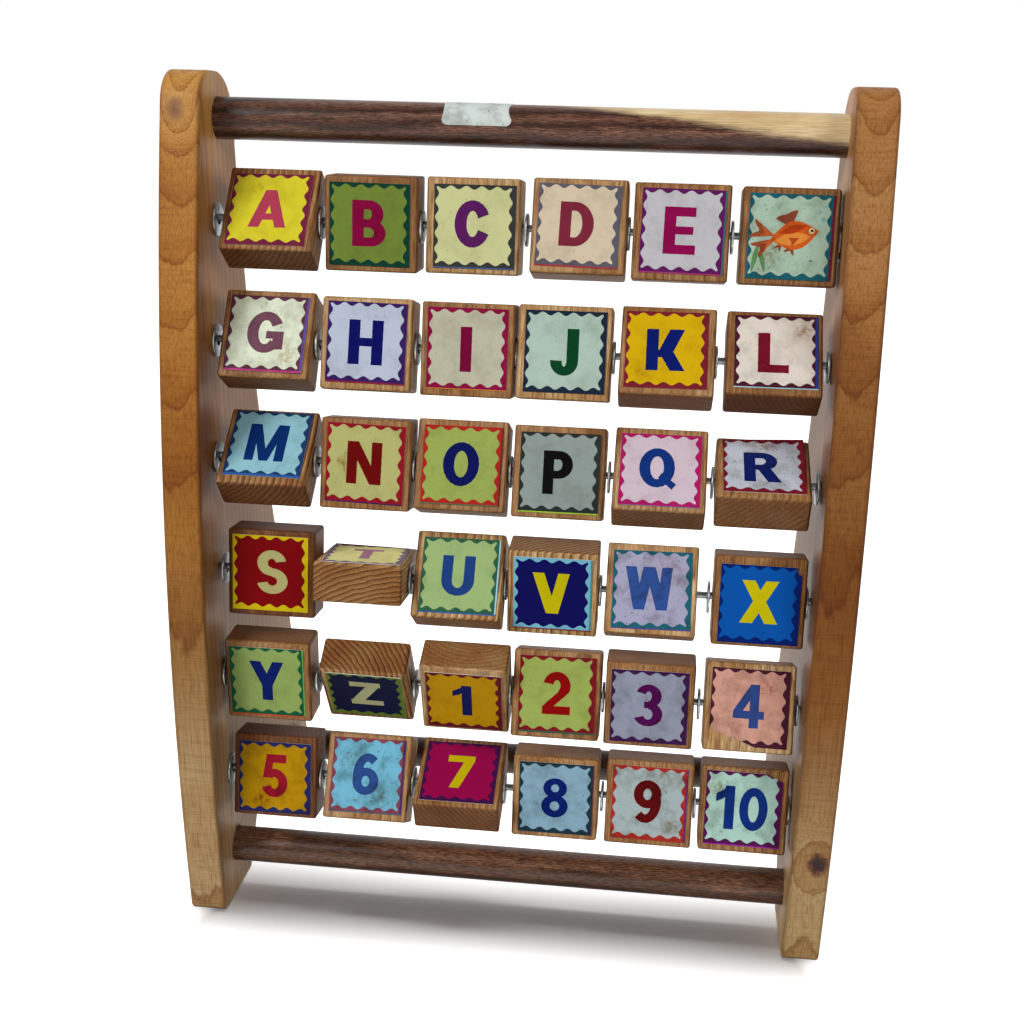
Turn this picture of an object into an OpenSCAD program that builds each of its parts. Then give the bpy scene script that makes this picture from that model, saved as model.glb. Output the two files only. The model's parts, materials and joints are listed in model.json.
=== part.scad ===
// Spinning alphabet block toy: six rows of six wooden blocks that turn on wire rods
// between two bowed side boards. Millimetres, +Z up, the blocks face -Y.
// The origin is on the table, under the middle of the whole toy.

/* [Blocks] */
// Width of a block along its rod
block_w = 38.1; // [30:0.1:50]
// Height of a block's face
block_h = 38.1; // [30:0.1:50]
// Thickness of a block, face to back
block_t = 17; // [12:0.5:24]
// Rounding of the block's sanded edges
block_edge_r = 1.2; // [0.4:0.1:3]
// Side of the square paper label on each face
label_size = 33; // [20:0.5:36]
// Thickness of the paper label
label_t = 0.25; // [0.1:0.05:0.6]
// Free space around a block's drilled hole, on each side of the rod
bore_clearance = 0.25; // [0.1:0.05:0.6]

/* [Rows] */
// Free space between the circles that two neighbouring rows sweep
row_gap = 7.9; // [3:0.1:20]
// Free space between the top rail and the circle of the first row
top_gap = 10.3; // [4:0.1:30]
// Free space between the front bottom rail and the circle of the last row
bottom_gap = 13.3; // [4:0.1:40]
// Sideways play that a row leaves between its blocks and washers
row_play = 18.4; // [8:0.2:40]

/* [Rods and washers] */
// Diameter of the steel rods
rod_d = 3; // [2:0.1:5]
// Depth of the rod's blind hole in each side board
rod_socket = 7; // [3:0.5:9]
// Outer diameter of the washers
washer_d = 13.5; // [8:0.1:20]
// Thickness of a washer
washer_t = 1; // [0.6:0.1:2]
// Free space between the rod and a washer's hole, when both are centred
washer_clearance = 0.8; // [0.2:0.05:1.2]
// Least free space between a washer and what stands beside it
face_clearance = 0.15; // [0.05:0.05:0.3]

/* [Side boards] */
// Thickness of each side board
board_t = 16.5; // [12:0.5:22]
// Depth of a side board at the table
board_depth = 180; // [150:1:240]
// Radius of the bowed front edge
bow_radius = 1045; // [700:5:2000]
// Distance from the front edge to the rods and the two front rails
axis_setback = 24; // [20:0.1:34]
// Height of the side board above the top rail's axis
top_rise = 18.5; // [15:0.5:30]
// Radius of the front corner at the top
top_front_r = 14; // [6:0.5:16]
// Radius of the back corner at the top
top_back_r = 22; // [8:0.5:24]
// Lean of the back leg's straight edge from upright, in degrees
leg_angle = 22.8; // [16:0.2:26]
// Height where the back leg's straight edge starts to curve
flare_h = 164; // [120:1:200]
// Radius of the hollow curve above the back leg
flare_radius = 745; // [500:5:1100]
// Rounding of the feet's outer corners
foot_r = 4; // [1:0.5:8]
// Length of the front foot on the table
front_foot = 42; // [35:1:60]
// Length of the back foot on the table
back_foot = 35; // [28:1:50]
// Height of the arch between the feet
arch_h = 42; // [30:1:50]
// Lean of the arch's sides from upright, in degrees
arch_angle = 27; // [10:1:35]
// Radius of the arch's upper corners
arch_r = 17; // [5:0.5:20]

/* [Rails] */
// Diameter of the top rail
rail_d = 17; // [13:0.5:20]
// Diameter of the two bottom rails
bottom_rail_d = 16; // [12:0.5:20]
// Depth of a rail's blind hole in each side board
rail_socket = 5; // [3:0.5:8]
// Free space under the front bottom rail
rail_floor_gap = 17; // [8:0.1:24]
// Height of the back bottom rail's axis
back_rail_h = 24.5; // [18:0.5:30]
// Wood left between the back rail's hole and the leg's back edge
back_rail_cover = 10.5; // [5:0.1:12]
// Free space all round a rod or rail in its blind hole
socket_clearance = 0.1; // [0.05:0.05:0.2]

/* [Screws] */
// Diameter of the wood screws' shanks
screw_d = 3.5; // [2.5:0.1:5]
// Length of the wood screws
screw_l = 32; // [22:1:45]
// Diameter of the countersunk heads
screw_head_d = 7; // [5:0.1:9]

/* [Tape label] */
// Width of the blank paper label on the top rail
tape_w = 28; // [10:1:60]
// Distance of its middle from the toy's middle, to the left
tape_left = 19; // [0:1:60]
// Part of the rail's circle that it covers, in degrees
tape_angle = 100; // [40:5:160]
// How far its middle lies above the front of the rail, in degrees
tape_turn = 50; // [0:5:90]
// Thickness of the paper label
tape_t = 0.2; // [0.1:0.05:0.5]

/* [Hidden] */
// Names on the blocks, top row first
block_names = [
    ["a", "b", "c", "d", "e", "f"],
    ["g", "h", "i", "j", "k", "l"],
    ["m", "n", "o", "p", "q", "r"],
    ["s", "t", "u", "v", "w", "x"],
    ["y", "z", "1", "2", "3", "4"],
    ["5", "6", "7", "8", "9", "10"],
];
// How far each block is turned at rest: face up is positive, in degrees
block_turns = [
    [35, 0, 5, 16, 9, 7],
    [29, 12, 8, 12, 32, 39],
    [48, 9, 22, 15, 41, 64],
    [4, 95, 33, -6, 26, 8],
    [-5, -36, -23, 16, 1, 16],
    [7, 26, 64, 4, 10, 11],
];
// Shares of the row's play in its seven gaps, from left to right
gap_shares = [
    [4.6, 2.6, 2.2, 3.1, 1.1, 2.9, 0.1],
    [3.6, 2.6, 2.3, 0.1, 2.1, 2.9, 2.7],
    [3.4, 2.8, 0.9, 1.3, 2, 2.3, 3.6],
    [4.7, 0.1, 1.9, 0.8, 2, 5.3, 1.4],
    [1.7, 4.4, 3.9, 0.7, 0.7, 3, 1.9],
    [2.7, 2.9, 2.3, 3.7, 2.1, 1.9, 0.7],
];
// Where each gap's washer lies: 0 against the left piece, 1 against the right one
washer_leans = [
    [0, 0.1, 0, 0.4, 0, 0.2, 0],
    [0, 0.2, 0.1, 0, 0.1, 0, 0.8],
    [0, 0.1, 0.2, 0.3, 0.4, 0.8, 0.8],
    [0.4, 0, 0.2, 0, 0.1, 0.8, 0.1],
    [0.2, 0.3, 0.3, 0, 0.5, 0.5, 0.4],
    [0, 0.1, 0.1, 0, 0.4, 0.2, 0],
];
// Colours of the paper labels
label_colors = [
    ["#d8cf2c", "#6f8a33", "#d8dc9c", "#dcc2a8", "#c9c2d2", "#a6c4b8"],
    ["#d9decb", "#c3c8de", "#cfc5b2", "#b9cfc3", "#d7a70d", "#e2d8d0"],
    ["#a9cfdc", "#e2dba2", "#b9bf5a", "#a9b3ab", "#e3c9cf", "#cbd2dc"],
    ["#9c1020", "#d9d27e", "#b4cf86", "#111a5c", "#c0bcd4", "#0f55a8"],
    ["#a9cf8b", "#161c40", "#cf9a1c", "#b9c75c", "#b5b3cc", "#dda38c"],
    ["#c8991c", "#86bfe0", "#8c1450", "#9fbfdc", "#c9cfc9", "#b9dccb"],
];
row_count = len(block_names);
row_blocks = len(block_names[0]);
row_gaps = row_blocks + 1;

// A turning block sweeps a circle across its corners
sweep_r = sqrt(block_h * block_h + block_t * block_t) / 2;
row_pitch = 2 * sweep_r + row_gap;
rail_r = rail_d / 2;
bottom_rail_r = bottom_rail_d / 2;
front_rail_z = rail_floor_gap + bottom_rail_r;
last_row_z = front_rail_z + bottom_rail_r + bottom_gap + sweep_r;
first_row_z = last_row_z + (row_count - 1) * row_pitch;
top_rail_z = first_row_z + sweep_r + top_gap + rail_r;
board_h = top_rail_z + top_rise;
bow_z = board_h / 2;
inner_w = row_blocks * block_w + row_gaps * washer_t + row_play;
board_x = inner_w / 2;

// Each gap keeps room for its washer, and shares out the rest of the play
loose_play = row_play - 2 * row_gaps * face_clearance;
washer_hole_d = rod_d + 2 * washer_clearance;
rest_gap = 0.05;
// A washer hangs on its rod by the top of its hole
washer_drop = washer_clearance - rest_gap;
block_hole_d = rod_d + 2 * bore_clearance;
glue_gap = 0.05;
end_clearance = 0.2;
curve_fn = 64;
long_curve_fn = 720;
cut = 1;

function rod_node(row) = str("rod_", row + 1);
function washers_node(row) = str("washers_row_", row + 1);
function block_node(row, column) = str("block_", block_names[row][column]);

function sum(list, count, i = 0) = i >= count ? 0 : list[i] + sum(list, count, i + 1);
function row_z(row) = first_row_z - row * row_pitch;

// The back foot's corner is round, so a board reaches a little less far back than its
// straight lines meet. Y = 0 is the middle of that reach.
foot_back_depth = board_depth - foot_r * (1 + sin(leg_angle)) / cos(leg_angle);
middle_depth = (foot_back_depth + foot_r) / 2;

// Depth from the foremost point of the bow to the arc that lies inset behind the front edge
function bow_depth(z, inset = 0) =
    bow_radius - sqrt(pow(bow_radius - inset, 2) - pow(z - bow_z, 2));
// The rods and front rails stand on one arc, parallel to the boards' front edges
function axis_y(z) = bow_depth(z, axis_setback) - middle_depth;

function gap_w(row, gap) =
    washer_t + 2 * face_clearance
    + loose_play * gap_shares[row][gap] / sum(gap_shares[row], row_gaps);
function gap_x(row, gap) =
    -board_x + gap * block_w
    + (gap == 0 ? 0 : sum([for (i = [0 : gap - 1]) gap_w(row, i)], gap));
function block_x(row, column) = gap_x(row, column) + gap_w(row, column) + block_w / 2;
function washer_x(row, gap) =
    gap_x(row, gap) + face_clearance + washer_t / 2
    + washer_leans[row][gap] * (gap_w(row, gap) - washer_t - 2 * face_clearance);

// The back leg: its straight edge, and the hollow curve that runs on above it
leg_normal = [cos(leg_angle), sin(leg_angle)];
flare_start = [board_depth - flare_h * tan(leg_angle), flare_h];
flare_centre = flare_start + flare_radius * leg_normal;
back_rail_depth =
    board_depth - back_rail_h * tan(leg_angle)
    - (bottom_rail_r + back_rail_cover) / cos(leg_angle);
back_rail_y = back_rail_depth - middle_depth;
front_rail_y = axis_y(front_rail_z);
top_rail_y = axis_y(top_rail_z);
// Each rail's depth, height and diameter
rails = [
    [top_rail_y, top_rail_z, rail_d],
    [front_rail_y, front_rail_z, bottom_rail_d],
    [back_rail_y, back_rail_h, bottom_rail_d],
];

// A side board's outline is drawn as depth behind the bow's foremost point, and height.
module side_outline() {
    bow_centre = [bow_radius, bow_z];
    top_front = [bow_depth(board_h - top_front_r, top_front_r), board_h - top_front_r];
    top_back_z = board_h - top_back_r;
    top_back = [
        flare_centre[0] - sqrt(pow(flare_radius + top_back_r, 2) - pow(top_back_z - flare_centre[1], 2)),
        top_back_z
    ];
    foot_front = [bow_depth(foot_r, foot_r), foot_r];
    foot_back = [foot_back_depth, foot_r];
    front_touch = bow_centre + (top_front - bow_centre) * bow_radius / (bow_radius - top_front_r);
    foot_touch = bow_centre + (foot_front - bow_centre) * bow_radius / (bow_radius - foot_r);
    back_touch =
        flare_centre + (top_back - flare_centre) * flare_radius / (flare_radius + top_back_r);
    difference() {
        intersection() {
            translate(bow_centre) circle(r = bow_radius, $fn = long_curve_fn);
            union() {
                polygon([
                    [foot_front[0], 0],
                    [foot_back[0], 0],
                    foot_back + foot_r * leg_normal,
                    flare_start,
                    [flare_start[0], back_touch[1]],
                    back_touch,
                    [top_back[0], board_h],
                    [top_front[0], board_h],
                    front_touch,
                    [-cut, front_touch[1]],
                    [-cut, foot_touch[1]],
                    foot_touch,
                ]);
                translate(top_front) circle(r = top_front_r, $fn = curve_fn);
                translate(top_back) circle(r = top_back_r, $fn = curve_fn);
                translate(foot_front) circle(r = foot_r, $fn = curve_fn);
                translate(foot_back) circle(r = foot_r, $fn = curve_fn);
            }
        }
        translate(flare_centre) circle(r = flare_radius, $fn = long_curve_fn);
        arch_outline();
    }
}

// The arch that leaves a front and a back foot: slanted sides and round upper corners
module arch_outline() {
    lean = tan(arch_angle);
    front = bow_depth(0) + front_foot;
    back = board_depth - back_foot;
    corner_z = arch_h - arch_r;
    inset = corner_z * lean + arch_r / cos(arch_angle);
    side = arch_r * [cos(arch_angle), sin(arch_angle)];
    front_corner = [front + inset, corner_z];
    back_corner = [back - inset, corner_z];
    polygon([
        [front - cut * lean, -cut],
        [back + cut * lean, -cut],
        back_corner + side,
        [back_corner[0], arch_h],
        [front_corner[0], arch_h],
        [front_corner[0] - side[0], front_corner[1] + side[1]],
    ]);
    translate(front_corner) circle(r = arch_r, $fn = curve_fn);
    translate(back_corner) circle(r = arch_r, $fn = curve_fn);
}

// A cylinder along X that starts at x and runs to the right
module bar(x, y, z, length, d) {
    translate([x, y, z]) rotate([0, 90, 0]) cylinder(h = length, d = d, $fn = curve_fn);
}

// One side board, standing with its inner face at x = 0 and its thickness towards +X
module side_board() {
    difference() {
        translate([0, -middle_depth, 0])
            rotate([90, 0, 90])
            linear_extrude(board_t) side_outline();
        for (row = [0 : row_count - 1])
            bar(-cut, axis_y(row_z(row)), row_z(row), rod_socket + cut, rod_d + 2 * socket_clearance);
        for (place = rails) {
            bar(-cut, place[0], place[1], rail_socket + cut, place[2] + 2 * socket_clearance);
            bar(0, place[0], place[1], board_t + cut, screw_d + 2 * socket_clearance);
            screw_sink(place);
        }
    }
}

// The countersink in the outer face
module screw_sink(place) {
    translate([board_t, place[0], place[1]])
        rotate([0, -90, 0])
        cylinder(
            h = screw_head_d / 2 + socket_clearance,
            r1 = screw_head_d / 2 + 2 * socket_clearance,
            r2 = 0,
            $fn = curve_fn
        );
}

module left_side_board() {
    color("#b98a55") translate([-board_x, 0, 0]) mirror([1, 0, 0]) side_board();
}

module right_side_board() {
    color("#c09058") translate([board_x, 0, 0]) side_board();
}

// A round rail, let into both boards and drilled in its ends for the screws
module rail(place) {
    tenon = rail_socket - end_clearance;
    length = inner_w + 2 * tenon;
    pilot = screw_l - board_t + end_clearance;
    difference() {
        bar(-length / 2, place[0], place[1], length, place[2]);
        for (side = [0, 1])
            mirror([side, 0, 0])
                bar(board_x - pilot, place[0], place[1], pilot + board_t, screw_d + 2 * socket_clearance);
    }
}

module top_rail() {
    color("#4a3026") rail(rails[0]);
}

module front_bottom_rail() {
    color("#4f3424") rail(rails[1]);
}

module rear_bottom_rail() {
    color("#8a6443") rail(rails[2]);
}

// One countersunk wood screw, pointing to -X with its head's face at x = 0
module wood_screw() {
    slot_w = screw_head_d / 7;
    slot_l = screw_head_d * 0.7;
    slot_depth = screw_head_d / 6;
    difference() {
        union() {
            rotate([0, -90, 0])
                cylinder(h = screw_head_d / 2, r1 = screw_head_d / 2, r2 = 0, $fn = curve_fn);
            rotate([0, -90, 0]) cylinder(h = screw_l - screw_d, d = screw_d, $fn = curve_fn);
            translate([screw_d - screw_l, 0, 0])
                rotate([0, -90, 0])
                cylinder(h = screw_d, r1 = screw_d / 2, r2 = screw_d / 8, $fn = curve_fn);
        }
        cube([2 * slot_depth, slot_w, slot_l], center = true);
        cube([2 * slot_depth, slot_l, slot_w], center = true);
    }
}

// Three screws through each side board, into the ends of the rails
module rail_screws() {
    color("#9a9a98")
        for (side = [0, 1], place = rails)
            mirror([side, 0, 0])
                translate([board_x + board_t, place[0], place[1]]) wood_screw();
}

// The blank paper label, bent round the front of the top rail
module rail_label() {
    color("#cfc8c0")
        translate([-tape_left - tape_w / 2, top_rail_y, top_rail_z])
        rotate([0, 90, 0])
        rotate([0, 0, 270 - tape_turn - tape_angle / 2])
        rotate_extrude(angle = tape_angle, $fn = curve_fn)
        translate([rail_r + glue_gap, 0])
        square([tape_t, tape_w]);
}

module rod(row) {
    length = inner_w + 2 * (rod_socket - end_clearance);
    color("#6f7275") bar(-length / 2, axis_y(row_z(row)), row_z(row), length, rod_d);
}

// The seven washers that keep a row's blocks apart
module washers(row) {
    color("#b4b4b2")
        for (gap = [0 : row_gaps - 1])
            translate([washer_x(row, gap) - washer_t / 2, axis_y(row_z(row)), row_z(row) - washer_drop])
            difference() {
                bar(0, 0, 0, washer_t, washer_d);
                bar(-cut, 0, 0, washer_t + 2 * cut, washer_hole_d);
            }
}

// A flat rectangle with rounded corners, centred on the origin
module rounded_rectangle(w, h, r) {
    square([w - 2 * r, h], center = true);
    square([w, h - 2 * r], center = true);
    for (x = [-1, 1], y = [-1, 1])
        translate([x * (w / 2 - r), y * (h / 2 - r)]) circle(r = r, $fn = curve_fn);
}

// A sanded block: three rounded outlines, one seen along each axis, meet in one solid.
module block_wood() {
    r = block_edge_r;
    difference() {
        intersection() {
            rotate([90, 0, 0])
                linear_extrude(block_t, center = true) rounded_rectangle(block_w, block_h, r);
            rotate([90, 0, 90])
                linear_extrude(block_w, center = true) rounded_rectangle(block_t, block_h, r);
            linear_extrude(block_h, center = true) rounded_rectangle(block_w, block_t, r);
        }
        bar(-block_w / 2 - cut, 0, 0, block_w + 2 * cut, block_hole_d);
    }
}

// The square paper labels glued to the face and the back
module block_labels() {
    for (side = [-1, 1])
        translate([0, side * (block_t / 2 + glue_gap + label_t / 2), 0])
            cube([label_size, label_t, label_size], center = true);
}

module letter_block(row, column) {
    z = row_z(row);
    translate([block_x(row, column), axis_y(z), z])
        rotate([-block_turns[row][column], 0, 0]) {
            color("#b88a58") block_wood();
            color(label_colors[row][column]) block_labels();
        }
}

left_side_board();
right_side_board();
top_rail();
front_bottom_rail();
rear_bottom_rail();
rail_screws();
rail_label();
for (row = [0 : row_count - 1]) rod(row);
for (row = [0 : row_count - 1]) washers(row);
for (row = [0 : row_count - 1], column = [0 : row_blocks - 1])
    letter_block(row, column);
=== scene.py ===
# %% [markdown]
# # A spinning alphabet block toy
# Two bowed pine boards carry three round rails and six steel rods. Six square blocks turn on
# each rod, kept apart by zinc washers, and each block wears a printed paper label on its face
# and on its back.
# The CAD model fixes every size and every joint. This lesson gives it its looks: it loads that
# model as a frame, and dresses each piece where the frame says it is.

# %% Load the frame
import json
import math

import bmesh
import bpy
import numpy as np
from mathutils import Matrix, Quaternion, Vector, geometry

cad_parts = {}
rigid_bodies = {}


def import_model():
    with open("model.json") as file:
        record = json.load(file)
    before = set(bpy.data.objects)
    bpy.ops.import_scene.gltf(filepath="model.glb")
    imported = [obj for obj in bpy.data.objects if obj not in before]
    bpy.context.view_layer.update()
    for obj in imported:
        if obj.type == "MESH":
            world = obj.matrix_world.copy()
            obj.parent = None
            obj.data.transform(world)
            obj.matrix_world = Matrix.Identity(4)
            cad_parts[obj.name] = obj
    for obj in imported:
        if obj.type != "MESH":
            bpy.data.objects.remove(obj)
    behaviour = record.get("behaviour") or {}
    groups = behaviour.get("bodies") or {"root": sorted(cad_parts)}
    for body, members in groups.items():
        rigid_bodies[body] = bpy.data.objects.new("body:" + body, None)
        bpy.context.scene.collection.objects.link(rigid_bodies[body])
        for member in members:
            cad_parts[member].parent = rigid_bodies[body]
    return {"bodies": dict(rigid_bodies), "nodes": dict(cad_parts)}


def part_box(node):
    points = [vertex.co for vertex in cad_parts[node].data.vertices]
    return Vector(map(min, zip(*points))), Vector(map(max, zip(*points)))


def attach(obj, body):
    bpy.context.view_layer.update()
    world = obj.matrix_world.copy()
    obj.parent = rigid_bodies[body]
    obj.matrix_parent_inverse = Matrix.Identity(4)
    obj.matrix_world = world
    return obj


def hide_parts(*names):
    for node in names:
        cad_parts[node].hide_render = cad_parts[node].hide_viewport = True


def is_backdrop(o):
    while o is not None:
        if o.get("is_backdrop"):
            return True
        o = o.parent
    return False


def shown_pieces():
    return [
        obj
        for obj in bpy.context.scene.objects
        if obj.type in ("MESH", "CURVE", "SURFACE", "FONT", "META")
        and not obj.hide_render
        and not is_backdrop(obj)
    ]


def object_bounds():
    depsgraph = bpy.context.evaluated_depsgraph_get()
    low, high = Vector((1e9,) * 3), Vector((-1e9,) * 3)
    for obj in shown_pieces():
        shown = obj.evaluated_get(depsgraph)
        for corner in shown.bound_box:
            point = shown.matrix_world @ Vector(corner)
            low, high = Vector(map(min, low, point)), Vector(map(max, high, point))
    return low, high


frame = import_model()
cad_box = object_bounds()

# The frame is in metres. Lengths below are written in millimetres, and times MM in metres.
MM = 0.001
ROWS = range(1, 7)
RODS = [f"rod_{row}" for row in ROWS]
RAILS = ("top_rail", "front_bottom_rail", "rear_bottom_rail")
scene = bpy.context.scene

# %% [markdown]
# ## Small tools
# Everything below is a mesh made from arrays, so its helpers come first. One turns a hex colour
# into the linear numbers that a renderer works with, one joins grid points into quads, two make
# a piece from arrays and put it on its body, and one stores numbers on a piece for its material
# to read. Blender has operators for most of this, but an operator depends on what is selected,
# and a function doesn't.

# %% Colours, grids and meshes
def linear(hex_color):
    """An sRGB hex value as linear red, green and blue, and an alpha of 1."""
    srgb = np.array([int(hex_color[i : i + 2], 16) for i in (1, 3, 5)]) / 255
    rgb = np.where(srgb <= 0.04045, srgb / 12.92, ((srgb + 0.055) / 1.055) ** 2.4)
    return (*(float(c) for c in rgb), 1.0)


def grid_faces(rows, columns, close_rows=False, close_columns=False):
    """Quads between neighbours of a grid; a closed direction joins its last line to its first."""
    row = np.arange(rows if close_rows else rows - 1)[:, None]
    column = np.arange(columns if close_columns else columns - 1)[None, :]
    next_row, next_column = (row + 1) % rows, (column + 1) % columns
    corners = [
        row * columns + column,
        row * columns + next_column,
        next_row * columns + next_column,
        next_row * columns + column,
    ]
    return np.stack([c.ravel() for c in corners], axis=1)


def make_piece(name, points, faces, material, body, replaced=()):
    """A new object from an array of points in millimetres and an array of faces."""
    mesh = bpy.data.meshes.new(name)
    mesh.from_pydata((points * MM).tolist(), [], faces.tolist())
    mesh.materials.append(material)
    return place_piece(name, mesh, body, replaced)


def place_piece(name, mesh, body, replaced=(), sharp=40):
    """Puts a finished mesh at the origin, on its body, in the place of the CAD nodes it shows.

    Edges that are bent by more than `sharp` degrees stay crisp.
    """
    mesh.shade_smooth()
    mesh.set_sharp_from_angle(angle=math.radians(sharp))
    piece = bpy.data.objects.new(name, mesh)
    scene.collection.objects.link(piece)
    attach(piece, body)
    if replaced:
        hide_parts(*replaced)
    return piece


def add_attribute(piece, name, kind, values, domain="POINT"):
    """Stores a number, a vector or a colour for each point, or for each corner of each face."""
    field = {"FLOAT": "value", "FLOAT_VECTOR": "vector", "FLOAT_COLOR": "color"}[kind]
    attribute = piece.data.attributes.new(name, kind, domain)
    attribute.data.foreach_set(field, values.astype(np.float32).ravel())


print("a grid of 3 by 3 points has", len(grid_faces(3, 3)), "faces, and closed both ways",
      len(grid_faces(3, 3, True, True)))

# %% [markdown]
# ### Shader nodes
# A material is a tree of nodes, each with settings, inputs and outputs. They could be placed by
# hand in the Shader Editor. Here one small function adds a node with its settings and links, so
# that a material reads from top to bottom, like a recipe. A Mix node for colours keeps its
# sockets at other numbers than its number sockets, so those numbers get names.

# %% Shader nodes
MIX = {"data_type": "RGBA"}
MULTIPLY = {**MIX, "blend_type": "MULTIPLY"}
MIX_FACTOR, MIX_A, MIX_B, MIX_RESULT = 0, 6, 7, 2


def add(tree, kind, properties=None, inputs=None):
    """Adds one node. Inputs are sockets or nodes to link, or values to set; stops fill a ramp."""
    node = tree.nodes.new("ShaderNode" + kind)
    for name, value in (properties or {}).items():
        if name == "stops":
            ramp = node.color_ramp
            while len(ramp.elements) < len(value):
                ramp.elements.new(1.0)
            for element, (position, color) in zip(ramp.elements, value):
                element.position = position
                element.color = linear(color)
        else:
            setattr(node, name, value)
    for name, value in (inputs or {}).items():
        if isinstance(value, bpy.types.Node):
            value = value.outputs[0]
        if isinstance(value, bpy.types.NodeSocket):
            tree.links.new(value, node.inputs[name])
        else:
            node.inputs[name].default_value = value
    return node


def new_material(name):
    """A material with an empty Principled shader, as (material, node tree, shader)."""
    material = bpy.data.materials.new(name)
    material.use_nodes = True
    tree = material.node_tree
    return material, tree, tree.nodes["Principled BSDF"]


def dress(node_name, material):
    """Gives one of the frame's own pieces a new material."""
    materials = frame["nodes"][node_name].data.materials
    materials.clear()
    materials.append(material)
    print(node_name, "is", material.name)


print("a colour mix reads sockets", MIX_FACTOR, MIX_A, MIX_B, "and gives socket", MIX_RESULT)

# %% [markdown]
# ## Camera
# The photograph was taken from a little right of the middle and above, with the camera rolled
# slightly. Its place was found by matching the rods, rails and board edges of the real toy with
# those of the model. A camera is easiest to read as a place, a point that it looks at, and a
# roll about that line.

# %% Camera
CAMERA_PLACE = Vector((60.6, -639.9, 360.75)) * MM
CAMERA_AIM = Vector((4.3, -103.8, 209.1)) * MM
CAMERA_ROLL = math.radians(1.605)
SENSOR_W = 36.0
LENS = 50.05

camera = bpy.data.objects.new("camera", bpy.data.cameras.new("camera"))
scene.collection.objects.link(camera)
scene.camera = camera
camera.data.sensor_width = SENSOR_W
camera.data.lens = LENS
camera.location = CAMERA_PLACE
camera.rotation_mode = "QUATERNION"
look = (CAMERA_AIM - CAMERA_PLACE).to_track_quat("-Z", "Y")
camera.rotation_quaternion = look @ Quaternion((0, 0, 1), CAMERA_ROLL)
print("camera", round((CAMERA_AIM - CAMERA_PLACE).length / MM), "mm from what it looks at")

# %% [markdown]
# ## Floor
# The toy stands in a white studio. A curved paper sweep would hide the horizon, but a flat floor
# under a white world does it too, as long as both reach white in the picture. So the paper is
# real under the toy, where it takes the soft shadow of the row of blocks, and glows more and
# more with its distance from that row. Only the camera and mirrors see the glow, and for the
# light that bounces back on the toy the paper is grey, because a bright floor would wipe out
# the shade below the blocks.

# %% Floor
FLOOR_SIZE = 30000
SEEN_PAPER = "#fafafa"
BOUNCE_PAPER = "#b8b8b8"
SHADOW_Y = -58
# Where the glow sets in and where it is full, in mm from the middle and from the blocks' row.
GLOW_WIDTH, GLOW_DEPTH = (128, 146), (3, 50)
GLOW = (0.09, 1.0)

corner = FLOOR_SIZE / 2 * MM
floor_mesh = bpy.data.meshes.new("floor")
floor_mesh.from_pydata(
    [(-corner, -corner, 0), (corner, -corner, 0), (corner, corner, 0), (-corner, corner, 0)],
    [], [(0, 1, 2, 3)])
floor = bpy.data.objects.new("floor", floor_mesh)
scene.collection.objects.link(floor)
floor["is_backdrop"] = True

floor_material, tree, _ = new_material("studio_paper")
tree.nodes.clear()
rays = add(tree, "LightPath")
seen = add(tree, "Math", {"operation": "MAXIMUM"}, {
    0: rays.outputs["Is Camera Ray"], 1: rays.outputs["Is Glossy Ray"]})
seen = add(tree, "Math", {"operation": "MAXIMUM"}, {
    0: seen, 1: rays.outputs["Is Transmission Ray"]})
color = add(tree, "Mix", MIX, {
    MIX_FACTOR: seen, MIX_A: linear(BOUNCE_PAPER), MIX_B: linear(SEEN_PAPER)})
place = add(tree, "TexCoord").outputs["Object"]
place = add(tree, "VectorMath", {"operation": "SUBTRACT"}, {0: place, 1: (0, SHADOW_Y * MM, 0)})
place = add(tree, "VectorMath", {"operation": "ABSOLUTE"}, {0: place})
parts = add(tree, "SeparateXYZ", inputs={0: place})
far = [
    add(tree, "MapRange", {"interpolation_type": "SMOOTHSTEP"}, {
        "Value": parts.outputs[axis], "From Min": start * MM, "From Max": stop * MM,
        "To Min": GLOW[0], "To Max": GLOW[1]})
    for axis, (start, stop) in (("X", GLOW_WIDTH), ("Y", GLOW_DEPTH))
]
far = add(tree, "Math", {"operation": "MAXIMUM"}, {0: far[0], 1: far[1]})
glow = add(tree, "Math", {"operation": "MULTIPLY"}, {0: seen, 1: far})
paper = add(tree, "BsdfDiffuse", inputs={"Color": color.outputs[MIX_RESULT]})
shine = add(tree, "Emission", inputs={"Strength": glow})
both = add(tree, "AddShader", inputs={0: paper, 1: shine})
add(tree, "OutputMaterial", inputs={"Surface": both})
floor_mesh.materials.append(floor_material)
print("floor: shadow below y =", SHADOW_Y, "mm")

# %% [markdown]
# ## World and lamps
# The world is white to the camera and dim as a light. To polished things it is a white backdrop
# behind the toy and a dim room in front of it, as in a real studio, or else every varnished
# label would look milky. Two broad lamps stand in front, high and far out to the sides, so that
# no label mirrors them into the camera; the left one is the stronger. A third hangs over the toy
# and throws the shadow between its feet. It is linked to the floor alone, and the other two
# leave the floor out, as a photographer would screen them off. A lamp's power follows from its
# distance: pi squared watts, times the square of the distance in metres, light white paper that
# faces the lamp to full white, and each lamp gives a share of that. Weaker lamps far out at both
# sides and behind light what the front lamps don't reach, so that the toy can be looked at all
# round. They stand low, so the boards screen the blocks' faces from them, and nothing mirrors
# them, or the boards' inner sides would shine.

# %% World and lamps
WORLD_LIGHT = 0.1
DIM_ROOM = 0.2
# How far back a direction points, from -1 to 1, where the dim room ends and the backdrop starts.
ROOM_END, BACKDROP_START = -0.3, 0.5

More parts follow.
